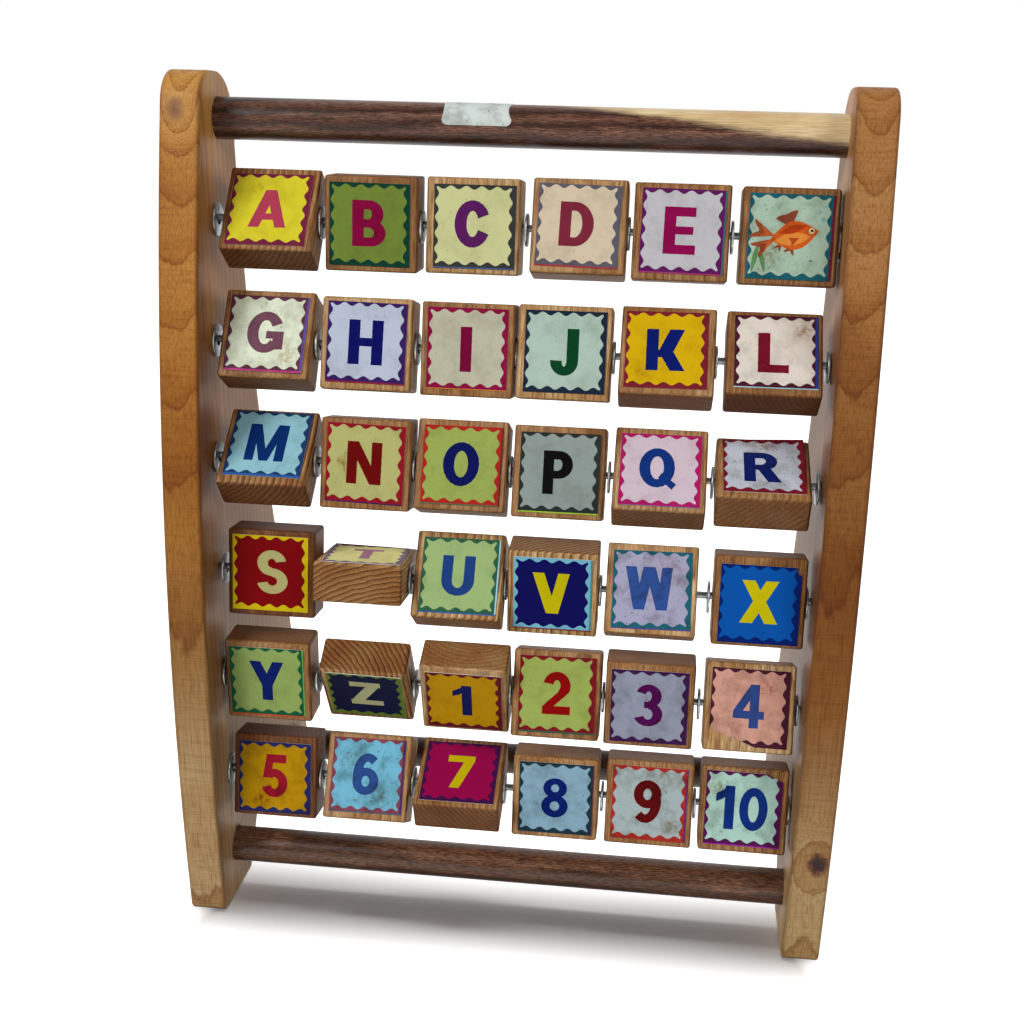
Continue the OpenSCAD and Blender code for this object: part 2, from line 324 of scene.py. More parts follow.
world = bpy.data.worlds.new("studio")
scene.world = world
world.use_nodes = True
tree = world.node_tree
tree.nodes.clear()
rays = add(tree, "LightPath")
direction = add(tree, "TexCoord").outputs["Generated"]
direction = add(tree, "SeparateXYZ", inputs={0: direction})
backdrop = add(tree, "MapRange", inputs={
    "Value": direction.outputs["Y"], "From Min": ROOM_END, "From Max": BACKDROP_START,
    "To Min": DIM_ROOM, "To Max": 1.0})
mirrored = add(tree, "Math", {"operation": "MULTIPLY"}, {
    0: rays.outputs["Is Glossy Ray"], 1: backdrop})
seen = add(tree, "Math", {"operation": "MAXIMUM"}, {
    0: rays.outputs["Is Camera Ray"], 1: rays.outputs["Is Transmission Ray"]})
level = add(tree, "Math", {"operation": "MAXIMUM"}, {0: seen, 1: mirrored})
level = add(tree, "Math", {"operation": "MAXIMUM"}, {0: level, 1: WORLD_LIGHT})
sky = add(tree, "Background", inputs={"Color": linear("#ffffff"), "Strength": level})
add(tree, "OutputWorld", inputs={"Surface": sky})


def add_lamp(name, place, aim, size, level, floor_link, mirrored=True):
    """A soft lamp; lengths are in millimetres, and level is its share of full white at `aim`.

    The floor link is INCLUDE for a lamp that lights the floor alone, and EXCLUDE for one that
    lights all but the floor. A lamp that isn't mirrored shows in no shiny surface.
    """
    way = (Vector(aim) - Vector(place)) * MM
    lamp = bpy.data.lights.new(name, "AREA")
    lamp.shape = "RECTANGLE"
    lamp.size, lamp.size_y = size[0] * MM, size[1] * MM
    lamp.energy = math.pi ** 2 * way.length_squared * level
    holder = bpy.data.objects.new(name, lamp)
    scene.collection.objects.link(holder)
    holder.location = Vector(place) * MM
    holder.rotation_mode = "QUATERNION"
    holder.rotation_quaternion = way.to_track_quat("-Z", "Y")
    holder.visible_glossy = mirrored
    receivers = bpy.data.collections.new(f"{name}_receivers")
    receivers.objects.link(floor)
    receivers.collection_objects[0].light_linking.link_state = floor_link
    holder.light_linking.receiver_collection = receivers
    print(name, round(lamp.energy, 1), "W, floor:", floor_link.lower())


# Each has its place, the point it looks at, its width and height, its level and its floor link.
BROAD = (1300, 1300)
add_lamp("left_lamp", (-2100, -2300, 2100), (0, -60, 190), BROAD, 0.76, "EXCLUDE")
add_lamp("right_lamp", (2000, -2400, 2000), (0, -60, 190), BROAD, 0.36, "EXCLUDE")
add_lamp("left_side_lamp", (-3000, 100, 230), (-143, 0, 190), BROAD, 0.5, "EXCLUDE", False)
add_lamp("right_side_lamp", (3000, 100, 230), (143, 0, 190), BROAD, 0.5, "EXCLUDE", False)
add_lamp("back_lamp", (0, 3200, 230), (0, 0, 190), (2600, 1000), 0.6, "EXCLUDE", False)
add_lamp("shadow_lamp", (0, -130, 3000), (0, SHADOW_Y, 0), (2000, 900), 0.62, "INCLUDE")

scene.view_settings.view_transform = "Standard"

# %% [markdown]
# ## Wood
# All the wood here is solid, so its grain runs through the piece: lines on a face turn into
# arcs on an end. A flat picture can't do that, but a tree can. The grain is the distance from
# the tree's heart line, counted in growth rings, each pale in its spring wood and darker towards
# its autumn wood, and bent by slow noise. Fine streaks along the fibres are the pores. The same
# few nodes give pine, walnut and the blocks' open-grained wood, with other sizes and colours.
# Every wood here is oiled or lacquered, so a second function gives them the IOR of a resin.

# %% Wood grain
DRIFT_SIZE = 22.0
WOOD_IOR = 1.5


def grain(tree, place, along, heart, lean, ring, bend, pore, pore_length):
    """Ring phase, pore streaks and slow drift, each from 0 to 1, on coordinates in metres.

    The phase is the distance from the heart line in ring widths, plus `bend` times the drift,
    without its whole part. Fibres run along the axis `along`. `heart` is a point on the heart
    line, `lean` turns the line out of that axis, `ring` and `pore` are widths, all lengths in
    millimetres.
    """
    turned = add(tree, "Mapping", {"vector_type": "TEXTURE"}, {
        "Vector": place, "Location": Vector(heart) * MM, "Rotation": lean})
    across = [0.0 if axis == along else 1.0 for axis in "XYZ"]
    flat = add(tree, "VectorMath", {"operation": "MULTIPLY"}, {0: turned, 1: across})
    radius = add(tree, "VectorMath", {"operation": "LENGTH"}, {0: flat})
    stretch = [0.25 if axis == along else 1.0 for axis in "XYZ"]
    slow = add(tree, "VectorMath", {"operation": "MULTIPLY"}, {0: turned, 1: stretch})
    drift = add(tree, "TexNoise", inputs={
        "Vector": slow, "Scale": 1 / (DRIFT_SIZE * MM), "Detail": 4.0, "Roughness": 0.58})
    rings = add(tree, "Math", {"operation": "MULTIPLY"}, {
        0: radius.outputs["Value"], 1: 1 / (ring * MM)})
    bent = add(tree, "Math", {"operation": "MULTIPLY_ADD"}, {0: drift, 1: bend, 2: rings})
    phase = add(tree, "Math", {"operation": "FRACT"}, {0: bent})
    size = [1 / (pore_length * MM) if axis == along else 1 / (pore * MM) for axis in "XYZ"]
    fine = add(tree, "VectorMath", {"operation": "MULTIPLY"}, {0: turned, 1: size})
    streaks = add(tree, "TexNoise", inputs={
        "Vector": fine, "Scale": 1.0, "Detail": 4.0, "Roughness": 0.6})
    return phase.outputs[0], streaks.outputs[0], drift.outputs[0]


def finish_wood(tree, shader, color, height, depth, roughness, gloss):
    """Links the colour and a bump of `depth` millimetres, and sets how it shines."""
    bump = add(tree, "Bump", inputs={"Height": height, "Distance": depth * MM, "Strength": 1.0})
    tree.links.new(bump.outputs[0], shader.inputs["Normal"])
    tree.links.new(color, shader.inputs["Base Color"])
    shader.inputs["Roughness"].default_value = roughness
    shader.inputs["Specular IOR Level"].default_value = gloss
    shader.inputs["IOR"].default_value = WOOD_IOR


print("grain drifts over", DRIFT_SIZE, "mm, four times that along the fibres")

# %% [markdown]
# ### Lacquered pine
# The pine is honey brown above, darker in the middle, and pale and khaki at the feet. The heart
# of the tree runs behind the front edge and leans towards it, so
# the rings cut the edge in long U shapes, a few centimetres apart. The boards are glued up from
# staves about 46 mm wide: behind the first joint the grain starts anew, and the wood is paler
# and pinker, partly other wood and partly a painted sheen of the lacquer.
# Saw marks cross the edge. Its rims and the broad sides near the front are darker, from handling
# and from painted shade where the blocks stand close. A knot is a branch, so its own dark grain
# replaces the board's, whose rings swerve round it.

# %% Lacquered pine
STAVE_W = 46.0
FRONT_JOINT = -60.0
# Middle of a board's thickness, measured from the toy's middle, and the board's height, in mm.
BOARD_X = 135.25
BOARD_H = 373
# How far apart the staves may have lain in the tree, and how far a knot pushes the rings.
STAVE_JUMP = 60
KNOT_PUSH = 4
# Saw marks are short lines across the edge: their length and their height.
SAW_MARK = (13, 0.7)
SEAM_W = 0.45
# Where the darkened sides near the front, handling grime and painted shade of the blocks, start
# and where they are darkest: from the middle of the board's thickness outwards, and along Y
# towards the front.
GRIME_AND_SHADE_OUT = (6.2, 8.3)
GRIME_AND_SHADE_Y = (-58, -76)


def lacquered_pine(name, heart, lean, tones, knot_place, knot_size, knot_tones):
    """Pine for one board. Places are in mm, and `tones` are its colours from foot to top."""
    material, tree, shader = new_material(name)
    coordinates = add(tree, "TexCoord")
    place = coordinates.outputs["Object"]
    parts = add(tree, "SeparateXYZ", inputs={0: place})
    # Staves are counted from the front edge; those behind the first were cut elsewhere.
    across = add(tree, "Math", {"operation": "MULTIPLY_ADD"}, {
        0: parts.outputs["Y"], 1: 1 / (STAVE_W * MM), 2: 1 - FRONT_JOINT / STAVE_W})
    stave = add(tree, "Math", {"operation": "FLOOR"}, {0: across})
    behind = add(tree, "Math", {"operation": "MINIMUM"}, {0: stave, 1: 1.0})
    chance = add(tree, "TexWhiteNoise", {"noise_dimensions": "1D"}, {"W": stave})
    jump = add(tree, "VectorMath", {"operation": "SCALE"}, {
        0: chance.outputs["Color"], "Scale": behind})
    jump = add(tree, "VectorMath", {"operation": "SCALE"}, {
        0: jump, "Scale": STAVE_JUMP * MM})
    moved = add(tree, "VectorMath", {"operation": "ADD"}, {0: place, 1: jump})
    # The rings swerve round the knot, by a push that fades over a few times its size.
    to_knot = add(tree, "VectorMath", {"operation": "SUBTRACT"}, {
        0: place, 1: Vector(knot_place) * MM})
    squeezed = add(tree, "VectorMath", {"operation": "MULTIPLY"}, {
        0: to_knot, 1: (1.0, 0.12, 0.8)})
    away = add(tree, "VectorMath", {"operation": "LENGTH"}, {0: squeezed}).outputs["Value"]
    push = add(tree, "MapRange", {"interpolation_type": "SMOOTHERSTEP"}, {
        "Value": away, "From Min": knot_size * 0.4 * MM, "From Max": knot_size * 2.2 * MM,
        "To Min": KNOT_PUSH * MM, "To Max": 0.0})
    swerve = add(tree, "CombineXYZ", inputs={"Y": push})
    moved = add(tree, "VectorMath", {"operation": "ADD"}, {0: moved, 1: swerve})
    phase, streaks, drift = grain(tree, moved, "Z", heart, lean, 5.0, 1.1, 0.5, 20)
    # Tone by height, a little uneven, then by stave.
    tone = add(tree, "TexNoise", inputs={"Vector": moved, "Scale": 14.0, "Detail": 4.0})
    height = add(tree, "Math", {"operation": "MULTIPLY_ADD"}, {
        0: parts.outputs["Z"], 1: 1 / (BOARD_H * MM), 2: -0.12})
    height = add(tree, "Math", {"operation": "MULTIPLY_ADD"}, {0: tone, 1: 0.24, 2: height})
    color = add(tree, "ValToRGB", {"stops": tones}, {0: height})
    # The staves behind the first are paler and pinker: partly other wood, partly a painted sheen of the
    # lacquer.
    pale = add(tree, "Math", {"operation": "MULTIPLY"}, {0: behind, 1: 0.55})
    color = add(tree, "Mix", MIX, {
        MIX_FACTOR: pale, MIX_A: color, MIX_B: linear("#b79c86")}).outputs[MIX_RESULT]
    late = add(tree, "ValToRGB", {"stops": [
        (0.0, "#ffffff"), (0.6, "#f7efe5"), (0.9, "#e3d1bb"), (0.96, "#c4a685"),
        (1.0, "#ffffff")]}, {0: phase})
    color = add(tree, "Mix", MULTIPLY, {
        MIX_FACTOR: 0.85, MIX_A: color, MIX_B: late}).outputs[MIX_RESULT]
    tint = add(tree, "ValToRGB", {"stops": [
        (0.32, "#d9c09c"), (0.5, "#f3e7d6"), (0.66, "#ffffff")]}, {0: tone})
    color = add(tree, "Mix", MULTIPLY, {
        MIX_FACTOR: 0.8, MIX_A: color, MIX_B: tint}).outputs[MIX_RESULT]
    fibre = add(tree, "ValToRGB", {"stops": [
        (0.32, "#bda88f"), (0.48, "#efe8de"), (0.62, "#ffffff")]}, {0: streaks})
    color = add(tree, "Mix", MULTIPLY, {
        MIX_FACTOR: 0.8, MIX_A: color, MIX_B: fibre}).outputs[MIX_RESULT]
    length, width = SAW_MARK
    sawn = add(tree, "VectorMath", {"operation": "MULTIPLY"}, {
        0: place, 1: (1 / (length * MM), 1 / (length * MM), 1 / (width * MM))})
    saw = add(tree, "TexNoise", inputs={"Vector": sawn, "Scale": 1.0, "Detail": 2.0})
    marks = add(tree, "ValToRGB", {"stops": [(0.36, "#cdbca6"), (0.5, "#ffffff")]}, {0: saw})
    # The saw cut the edges alone; the broad sides, which look along X, were planed.
    facing = add(tree, "SeparateXYZ", inputs={0: coordinates.outputs["Normal"]})
    facing = add(tree, "Math", {"operation": "ABSOLUTE"}, {0: facing.outputs["X"]})
    sawn_share = add(tree, "MapRange", inputs={
        "Value": facing, "From Min": 0.3, "From Max": 0.7, "To Min": 0.38, "To Max": 0.03})
    color = add(tree, "Mix", MULTIPLY, {
        MIX_FACTOR: sawn_share, MIX_A: color, MIX_B: marks}).outputs[MIX_RESULT]
    # The glue joints, and the sides near the front edge: handling grime, and painted shade of the
    # blocks.
    seam = add(tree, "Math", {"operation": "PINGPONG"}, {0: across, 1: 0.5})
    seam = add(tree, "MapRange", inputs={
        "Value": seam, "From Max": SEAM_W / STAVE_W, "To Min": 0.6, "To Max": 0.0})
    color = add(tree, "Mix", MULTIPLY, {
        MIX_FACTOR: seam, MIX_A: color, MIX_B: linear("#6b4c38")}).outputs[MIX_RESULT]
    side = add(tree, "Math", {"operation": "ABSOLUTE"}, {0: parts.outputs["X"]})
    side = add(tree, "Math", {"operation": "SUBTRACT"}, {0: side, 1: BOARD_X * MM})
    side = add(tree, "Math", {"operation": "ABSOLUTE"}, {0: side})
    rim = add(tree, "MapRange", {"interpolation_type": "SMOOTHSTEP"}, {
        "Value": side, "From Min": GRIME_AND_SHADE_OUT[0] * MM, "From Max": GRIME_AND_SHADE_OUT[1] * MM, "To Max": 0.75})
    front = add(tree, "MapRange", inputs={
        "Value": parts.outputs["Y"], "From Min": GRIME_AND_SHADE_Y[0] * MM, "From Max": GRIME_AND_SHADE_Y[1] * MM})
    rim = add(tree, "Math", {"operation": "MULTIPLY"}, {0: rim, 1: front})
    patches = add(tree, "MapRange", inputs={
        "Value": drift, "From Min": 0.3, "From Max": 0.6, "To Min": 0.45})
    rim = add(tree, "Math", {"operation": "MULTIPLY"}, {0: rim, 1: patches})
    color = add(tree, "Mix", MULTIPLY, {
        MIX_FACTOR: rim, MIX_A: color, MIX_B: linear("#86694c")}).outputs[MIX_RESULT]
    # The knot: its colour runs outwards from a dark heart.
    rough = add(tree, "TexNoise", inputs={
        "Vector": to_knot, "Scale": 1 / (2.4 * MM), "Detail": 5.0, "Roughness": 0.65})
    ring = add(tree, "Math", {"operation": "MULTIPLY_ADD"}, {
        0: away, 1: 2 / (knot_size * MM), 2: -0.6})
    ring = add(tree, "Math", {"operation": "MULTIPLY_ADD"}, {0: rough, 1: 1.3, 2: ring})
    knot = add(tree, "MapRange", {"interpolation_type": "SMOOTHSTEP"}, {
        "Value": ring, "From Min": 0.8, "From Max": 1.35, "To Min": 1.0, "To Max": 0.0})
    knot_color = add(tree, "ValToRGB", {"stops": knot_tones}, {0: ring})
    color = add(tree, "Mix", MIX, {
        MIX_FACTOR: knot, MIX_A: color, MIX_B: knot_color}).outputs[MIX_RESULT]
    finish_wood(tree, shader, color, streaks, 0.04, 0.5, 0.17)
    return material


left_pine = lacquered_pine(
    "lacquered_pine_left", (-BOARD_X, -45, 190), (math.radians(5.7), 0, 0),
    [(0.0, "#c5aa84"), (0.2, "#c5ae87"), (0.36, "#a37c49"), (0.55, "#a87432"), (0.8, "#c28c45"),
     (0.97, "#cfa05a")],
    (-137, -73, 358), 8, [(0.0, "#7c5239"), (0.5, "#926640"), (1.0, "#a67a48")])
right_pine = lacquered_pine(
    "lacquered_pine_right", (BOARD_X, -48, 190), (math.radians(5.2), 0, 0),
    [(0.0, "#c9b285"), (0.2, "#b99e76"), (0.36, "#8e5f2d"), (0.55, "#855524"), (0.8, "#b58551")],
    (138.3, -75, 53), 10, [(0.0, "#2c1a18"), (0.6, "#3b241f"), (0.85, "#6b4730"), (1.0, "#8d623d")])
print("pine:", left_pine.name, len(left_pine.node_tree.nodes), "nodes and", right_pine.name)

# %% [markdown]
# ## Side boards
# The boards come from the frame, where their bow, their flare and their arch are exact. A real
# board has its edges eased with a router, which is what catches the light along the bow. The
# frame's mesh is never changed, so a copy is merged and its flat faces are joined; then a Bevel
# modifier rounds the edges of the outline alone. The sockets keep their crisp rims.

# %% Side boards
EASED_EDGE = 1.4
# Faces that meet at less than this many degrees are joined into one.
FLAT_ANGLE = 0.3


def hole_levels():
    """Heights of the rods' and rails' middles in metres, each once."""
    boxes = [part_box(name) for name in (*RODS, *RAILS)]
    return sorted({round((low.z + high.z) / 2, 6) for low, high in boxes})


def eased_board(name, node_name, material):
    """A copy of a board with its outline's edges rounded."""
    node = frame["nodes"][node_name]
    low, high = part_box(node_name)
    thickness = high.x - low.x
    shape = bmesh.new()
    shape.from_mesh(node.data)
    bmesh.ops.remove_doubles(shape, verts=shape.verts, dist=1e-6)
    # A face can't have a hole in it, so the flat sides are cut level through the holes' middles.
    for level in hole_levels():
        everything = [*shape.verts, *shape.edges, *shape.faces]
        cut = bmesh.ops.bisect_plane(
            shape, geom=everything, dist=1e-7, plane_co=(0, 0, level), plane_no=(0, 0, 1))
        for item in cut["geom_cut"]:
            if isinstance(item, bmesh.types.BMEdge):
                item.seam = True
    bmesh.ops.dissolve_limit(
        shape, angle_limit=math.radians(FLAT_ANGLE), verts=shape.verts, edges=shape.edges,
        delimit={"SEAM"})
    # An edge of the outline joins a broad side to a face as deep as the board is thick.
    weight = shape.edges.layers.float.new("bevel_weight_edge")
    for edge in shape.edges:
        rims = [f for f in edge.link_faces if abs(f.normal.x) < 0.01]
        if len(edge.link_faces) == 2 and len(rims) == 1:
            depths = [v.co.x for v in rims[0].verts]
            edge[weight] = float(max(depths) - min(depths) > 0.99 * thickness)
    mesh = bpy.data.meshes.new(name)
    shape.to_mesh(mesh)
    shape.free()
    mesh.materials.clear()
    mesh.materials.append(material)
    board = place_piece(name, mesh, "frame", [node_name], 30)
    print(name, "has", len(mesh.polygons), "faces before its edges are eased")
    bevel = board.modifiers.new("eased edges", "BEVEL")
    bevel.limit_method = "WEIGHT"
    bevel.width = EASED_EDGE * MM
    bevel.segments = 4
    bevel.harden_normals = True


eased_board("left_board", "left_side_board", left_pine)
eased_board("right_board", "right_side_board", right_pine)

# %% [markdown]
# ## Rails
# The top and the front bottom rail are dark dowels, turned from wood like walnut and oiled.
# Part of the top one is sapwood: the pale outer wood of the tree, which meets the dark
# heartwood along a slanting line, because the dowel was cut at an angle to it. Each is the
# frame's own cylinder with a new material, whose fibres run along X. A dowel could be made anew
# as well, but a plain cylinder has nothing to gain from that.

# %% Oiled walnut
def oiled_walnut(name, heart, dark, light, roughness=0.32, gloss=0.3, sapwood=None):
    """Dark dowel wood; sapwood is (x where it starts, fall per millimetre, height, colours)."""
    material, tree, shader = new_material(name)
    place = add(tree, "TexCoord").outputs["Object"]
    phase, streaks, drift = grain(
        tree, place, "X", heart, (0, 0, math.radians(1.5)), 5.5, 3.2, 0.32, 11)
    rings = add(tree, "ValToRGB", {"stops": [
        (0.0, light), (0.6, dark), (1.0, light)]}, {0: phase})
    tone = add(tree, "ValToRGB", {"stops": [(0.35, "#8a7468"), (0.65, "#ffffff")]}, {0: drift})
    color = add(tree, "Mix", MULTIPLY, {
        MIX_FACTOR: 0.7, MIX_A: rings, MIX_B: tone}).outputs[MIX_RESULT]
    fibre = add(tree, "ValToRGB", {"stops": [
        (0.34, "#66564a"), (0.5, "#ddd0c4"), (0.6, "#ffffff")]}, {0: streaks})
    color = add(tree, "Mix", MULTIPLY, {
        MIX_FACTOR: 0.7, MIX_A: color, MIX_B: fibre}).outputs[MIX_RESULT]
    # Open pores: short dark dashes along the wood.
    dashes = add(tree, "VectorMath", {"operation": "MULTIPLY"}, {
        0: place, 1: (1 / (3.2 * MM), 1 / (0.3 * MM), 1 / (0.3 * MM))})
    pores = add(tree, "TexNoise", inputs={
        "Vector": dashes, "Scale": 1.0, "Detail": 3.0, "Roughness": 0.7})
    pore_tint = add(tree, "ValToRGB", {"stops": [
        (0.42, "#ffffff"), (0.52, "#b09d8e"), (0.62, "#453529")]}, {0: pores})
    color = add(tree, "Mix", MULTIPLY, {
        MIX_FACTOR: 0.85, MIX_A: color, MIX_B: pore_tint}).outputs[MIX_RESULT]
    if sapwood:
        start, fall, middle, stops = sapwood
        parts = add(tree, "SeparateXYZ", inputs={0: place})
        line = add(tree, "Math", {"operation": "MULTIPLY_ADD"}, {
            0: parts.outputs["X"], 1: fall, 2: parts.outputs["Z"]})
        line = add(tree, "Math", {"operation": "ADD"}, {
            0: line, 1: -(start * fall + middle) * MM})
        line = add(tree, "Math", {"operation": "MULTIPLY_ADD"}, {0: drift, 1: 9 * MM, 2: line})
        line = add(tree, "Math", {"operation": "MULTIPLY_ADD"}, {0: streaks, 1: 3 * MM, 2: line})
        share = add(tree, "MapRange", {"interpolation_type": "SMOOTHSTEP"}, {
            "Value": line, "From Min": 4.6 * MM, "From Max": 7.6 * MM})
        pale = add(tree, "ValToRGB", {"stops": stops}, {0: drift})
        grainy = add(tree, "ValToRGB", {"stops": [
            (0.34, "#c9b089"), (0.5, "#f3ead9"), (0.6, "#ffffff")]}, {0: streaks})
        pale = add(tree, "Mix", MULTIPLY, {
            MIX_FACTOR: 0.6, MIX_A: pale, MIX_B: grainy}).outputs[MIX_RESULT]
        color = add(tree, "Mix", MIX, {
            MIX_FACTOR: share, MIX_A: color, MIX_B: pale}).outputs[MIX_RESULT]
    finish_wood(tree, shader, color, pores, -0.05, roughness, gloss)
    return material


top_rail_low, top_rail_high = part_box("top_rail")
top_rail_z = (top_rail_low.z + top_rail_high.z) / 2 / MM
walnut_top = oiled_walnut(
    "oiled_walnut_top", (0, -30, top_rail_z + 60), "#5b3b31", "#b0836d",
    sapwood=(43, 0.113, top_rail_z + 6, [(0.3, "#cfae7c"), (0.5, "#e4cfa4"), (0.7, "#eddfbb")]))
walnut_front = oiled_walnut("oiled_walnut_front", (0, -20, -40), "#76533f", "#a2775a", 0.27, 0.36)
walnut_back = oiled_walnut("oiled_walnut_back", (0, 90, -50), "#7a563a", "#9a7450")
for rail, walnut in zip(RAILS, (walnut_top, walnut_front, walnut_back)):
    dress(rail, walnut)

# %% [markdown]
# ## Steel
# The rods are drawn wire, a little dull. The washers and screws are zinc plated: bluish grey,
# with fine scratches and slightly uneven brightness. Both are metals, so they keep the default
# IOR and get their look from roughness and a small bump.

# %% Zinc and drawn wire
def worn_metal(name, color, dull, roughness, scratch):
    """Bare or plated steel, with roughness clouds and scratches `scratch` millimetres apart."""
    material, tree, shader = new_material(name)
    place = add(tree, "TexCoord").outputs["Object"]
    clouds = add(tree, "TexNoise", inputs={
        "Vector": place, "Scale": 1 / (2.5 * MM), "Detail": 4.0})
    tone = add(tree, "ValToRGB", {"stops": [(0.35, dull), (0.6, color)]}, {0: clouds})
    tree.links.new(tone.outputs[0], shader.inputs["Base Color"])
    rough = add(tree, "MapRange", inputs={
        "Value": clouds, "To Min": roughness + 0.14, "To Max": roughness - 0.06})
    tree.links.new(rough.outputs[0], shader.inputs["Roughness"])
    lines = add(tree, "VectorMath", {"operation": "MULTIPLY"}, {0: place, 1: (0.2, 1.0, 1.0)})
    scratches = add(tree, "TexNoise", inputs={
        "Vector": lines, "Scale": 1 / (scratch * MM), "Detail": 2.0})
    bump = add(tree, "Bump", inputs={"Height": scratches, "Distance": 0.02 * MM, "Strength": 0.6})
    tree.links.new(bump.outputs[0], shader.inputs["Normal"])
    shader.inputs["Metallic"].default_value = 1.0
    return material


zinc = worn_metal("zinc_plated_steel", "#bcc0c0", "#8b8f8f", 0.42, 0.5)
wire = worn_metal("drawn_steel_wire", "#9da2a3", "#6f7576", 0.3, 0.35)
for rod in RODS:
    dress(rod, wire)
dress("rail_screws", zinc)

# %% [markdown]
# ### Washers
# A stamped washer has one edge rounded by the die. That round edge is what shows at a block's
# side as a bright arc, so each washer is a profile turned about its rod. The frame says where
# each one is: its node's points lie in pairs of flat planes, one pair for each washer.

# %% Washers
WASHER_EDGE = 0.32
ROUND_STEPS, EDGE_STEPS = 64, 5


def turned_ring(centre, hole_r, rim_r, thickness):
    """A profile across the faces and round the rim's two edges, turned once about X.

    point(a, s) = centre + x(s) along X + r(s) times (cos a, sin a) in the YZ plane. On a round
    edge, x lies WASHER_EDGE times (1 - cos) inside the face and r lies WASHER_EDGE times
    (1 - sin) inside the rim.
    """
    quarter = np.linspace(0, math.pi / 2, EDGE_STEPS)
    half = thickness / 2
    inset, fall = WASHER_EDGE * (1 - np.cos(quarter)), WASHER_EDGE * (1 - np.sin(quarter))
    x = np.concatenate([[-half], inset - half, half - inset[::-1], [half]])
    r = np.concatenate([[hole_r], rim_r - fall, rim_r - fall[::-1], [hole_r]])
    turn = np.linspace(0, 2 * math.pi, ROUND_STEPS, endpoint=False)[:, None]
    along, across, up = np.broadcast_arrays(x, r * np.cos(turn), r * np.sin(turn))
    points = np.stack([along, across, up], axis=-1) + centre
    return points.reshape(-1, 3), grid_faces(ROUND_STEPS, len(x), True, True)


def node_points(node_name):
    """The frame's points of one node, in millimetres."""
    mesh = frame["nodes"][node_name].data
    points = np.zeros(len(mesh.vertices) * 3)
    mesh.vertices.foreach_get("co", points)
    return points.reshape(-1, 3) / MM


for row in ROWS:
    cad = node_points(f"washers_row_{row}")
    planes = np.unique(np.round(cad[:, 0], 3)).reshape(-1, 2)
    axis = (cad.min(0) + cad.max(0)) / 2
    reach = np.hypot(cad[:, 1] - axis[1], cad[:, 2] - axis[2])
    rings = [
        turned_ring((pair.mean(), axis[1], axis[2]), reach.min(), reach.max(), np.ptp(pair))
        for pair in planes
    ]
    points = np.concatenate([p for p, _ in rings])
    faces = np.concatenate([f + i * len(rings[0][0]) for i, (_, f) in enumerate(rings)])
    make_piece(
        f"row_{row}_washers", points, faces, zinc, "frame", [f"washers_row_{row}"])
print("washers:", len(ROWS), "rows of", len(planes))

# %% [markdown]
# ## Block wood
# The blocks are sawn from open-grained boards, cross-cut so that the fibres run up and down the
# face. So the face shows fine upright lines, and the top and bottom show end grain: dark
# diagonal stripes or arcs, different on each block. Each block therefore keeps, in an attribute
# named "plank", where each of its points lay in the board that it was sawn from. Its end grain
# drinks more oil, its corners are darker from handling, and no two planks had the same tone:
# two more attributes tell the material that.

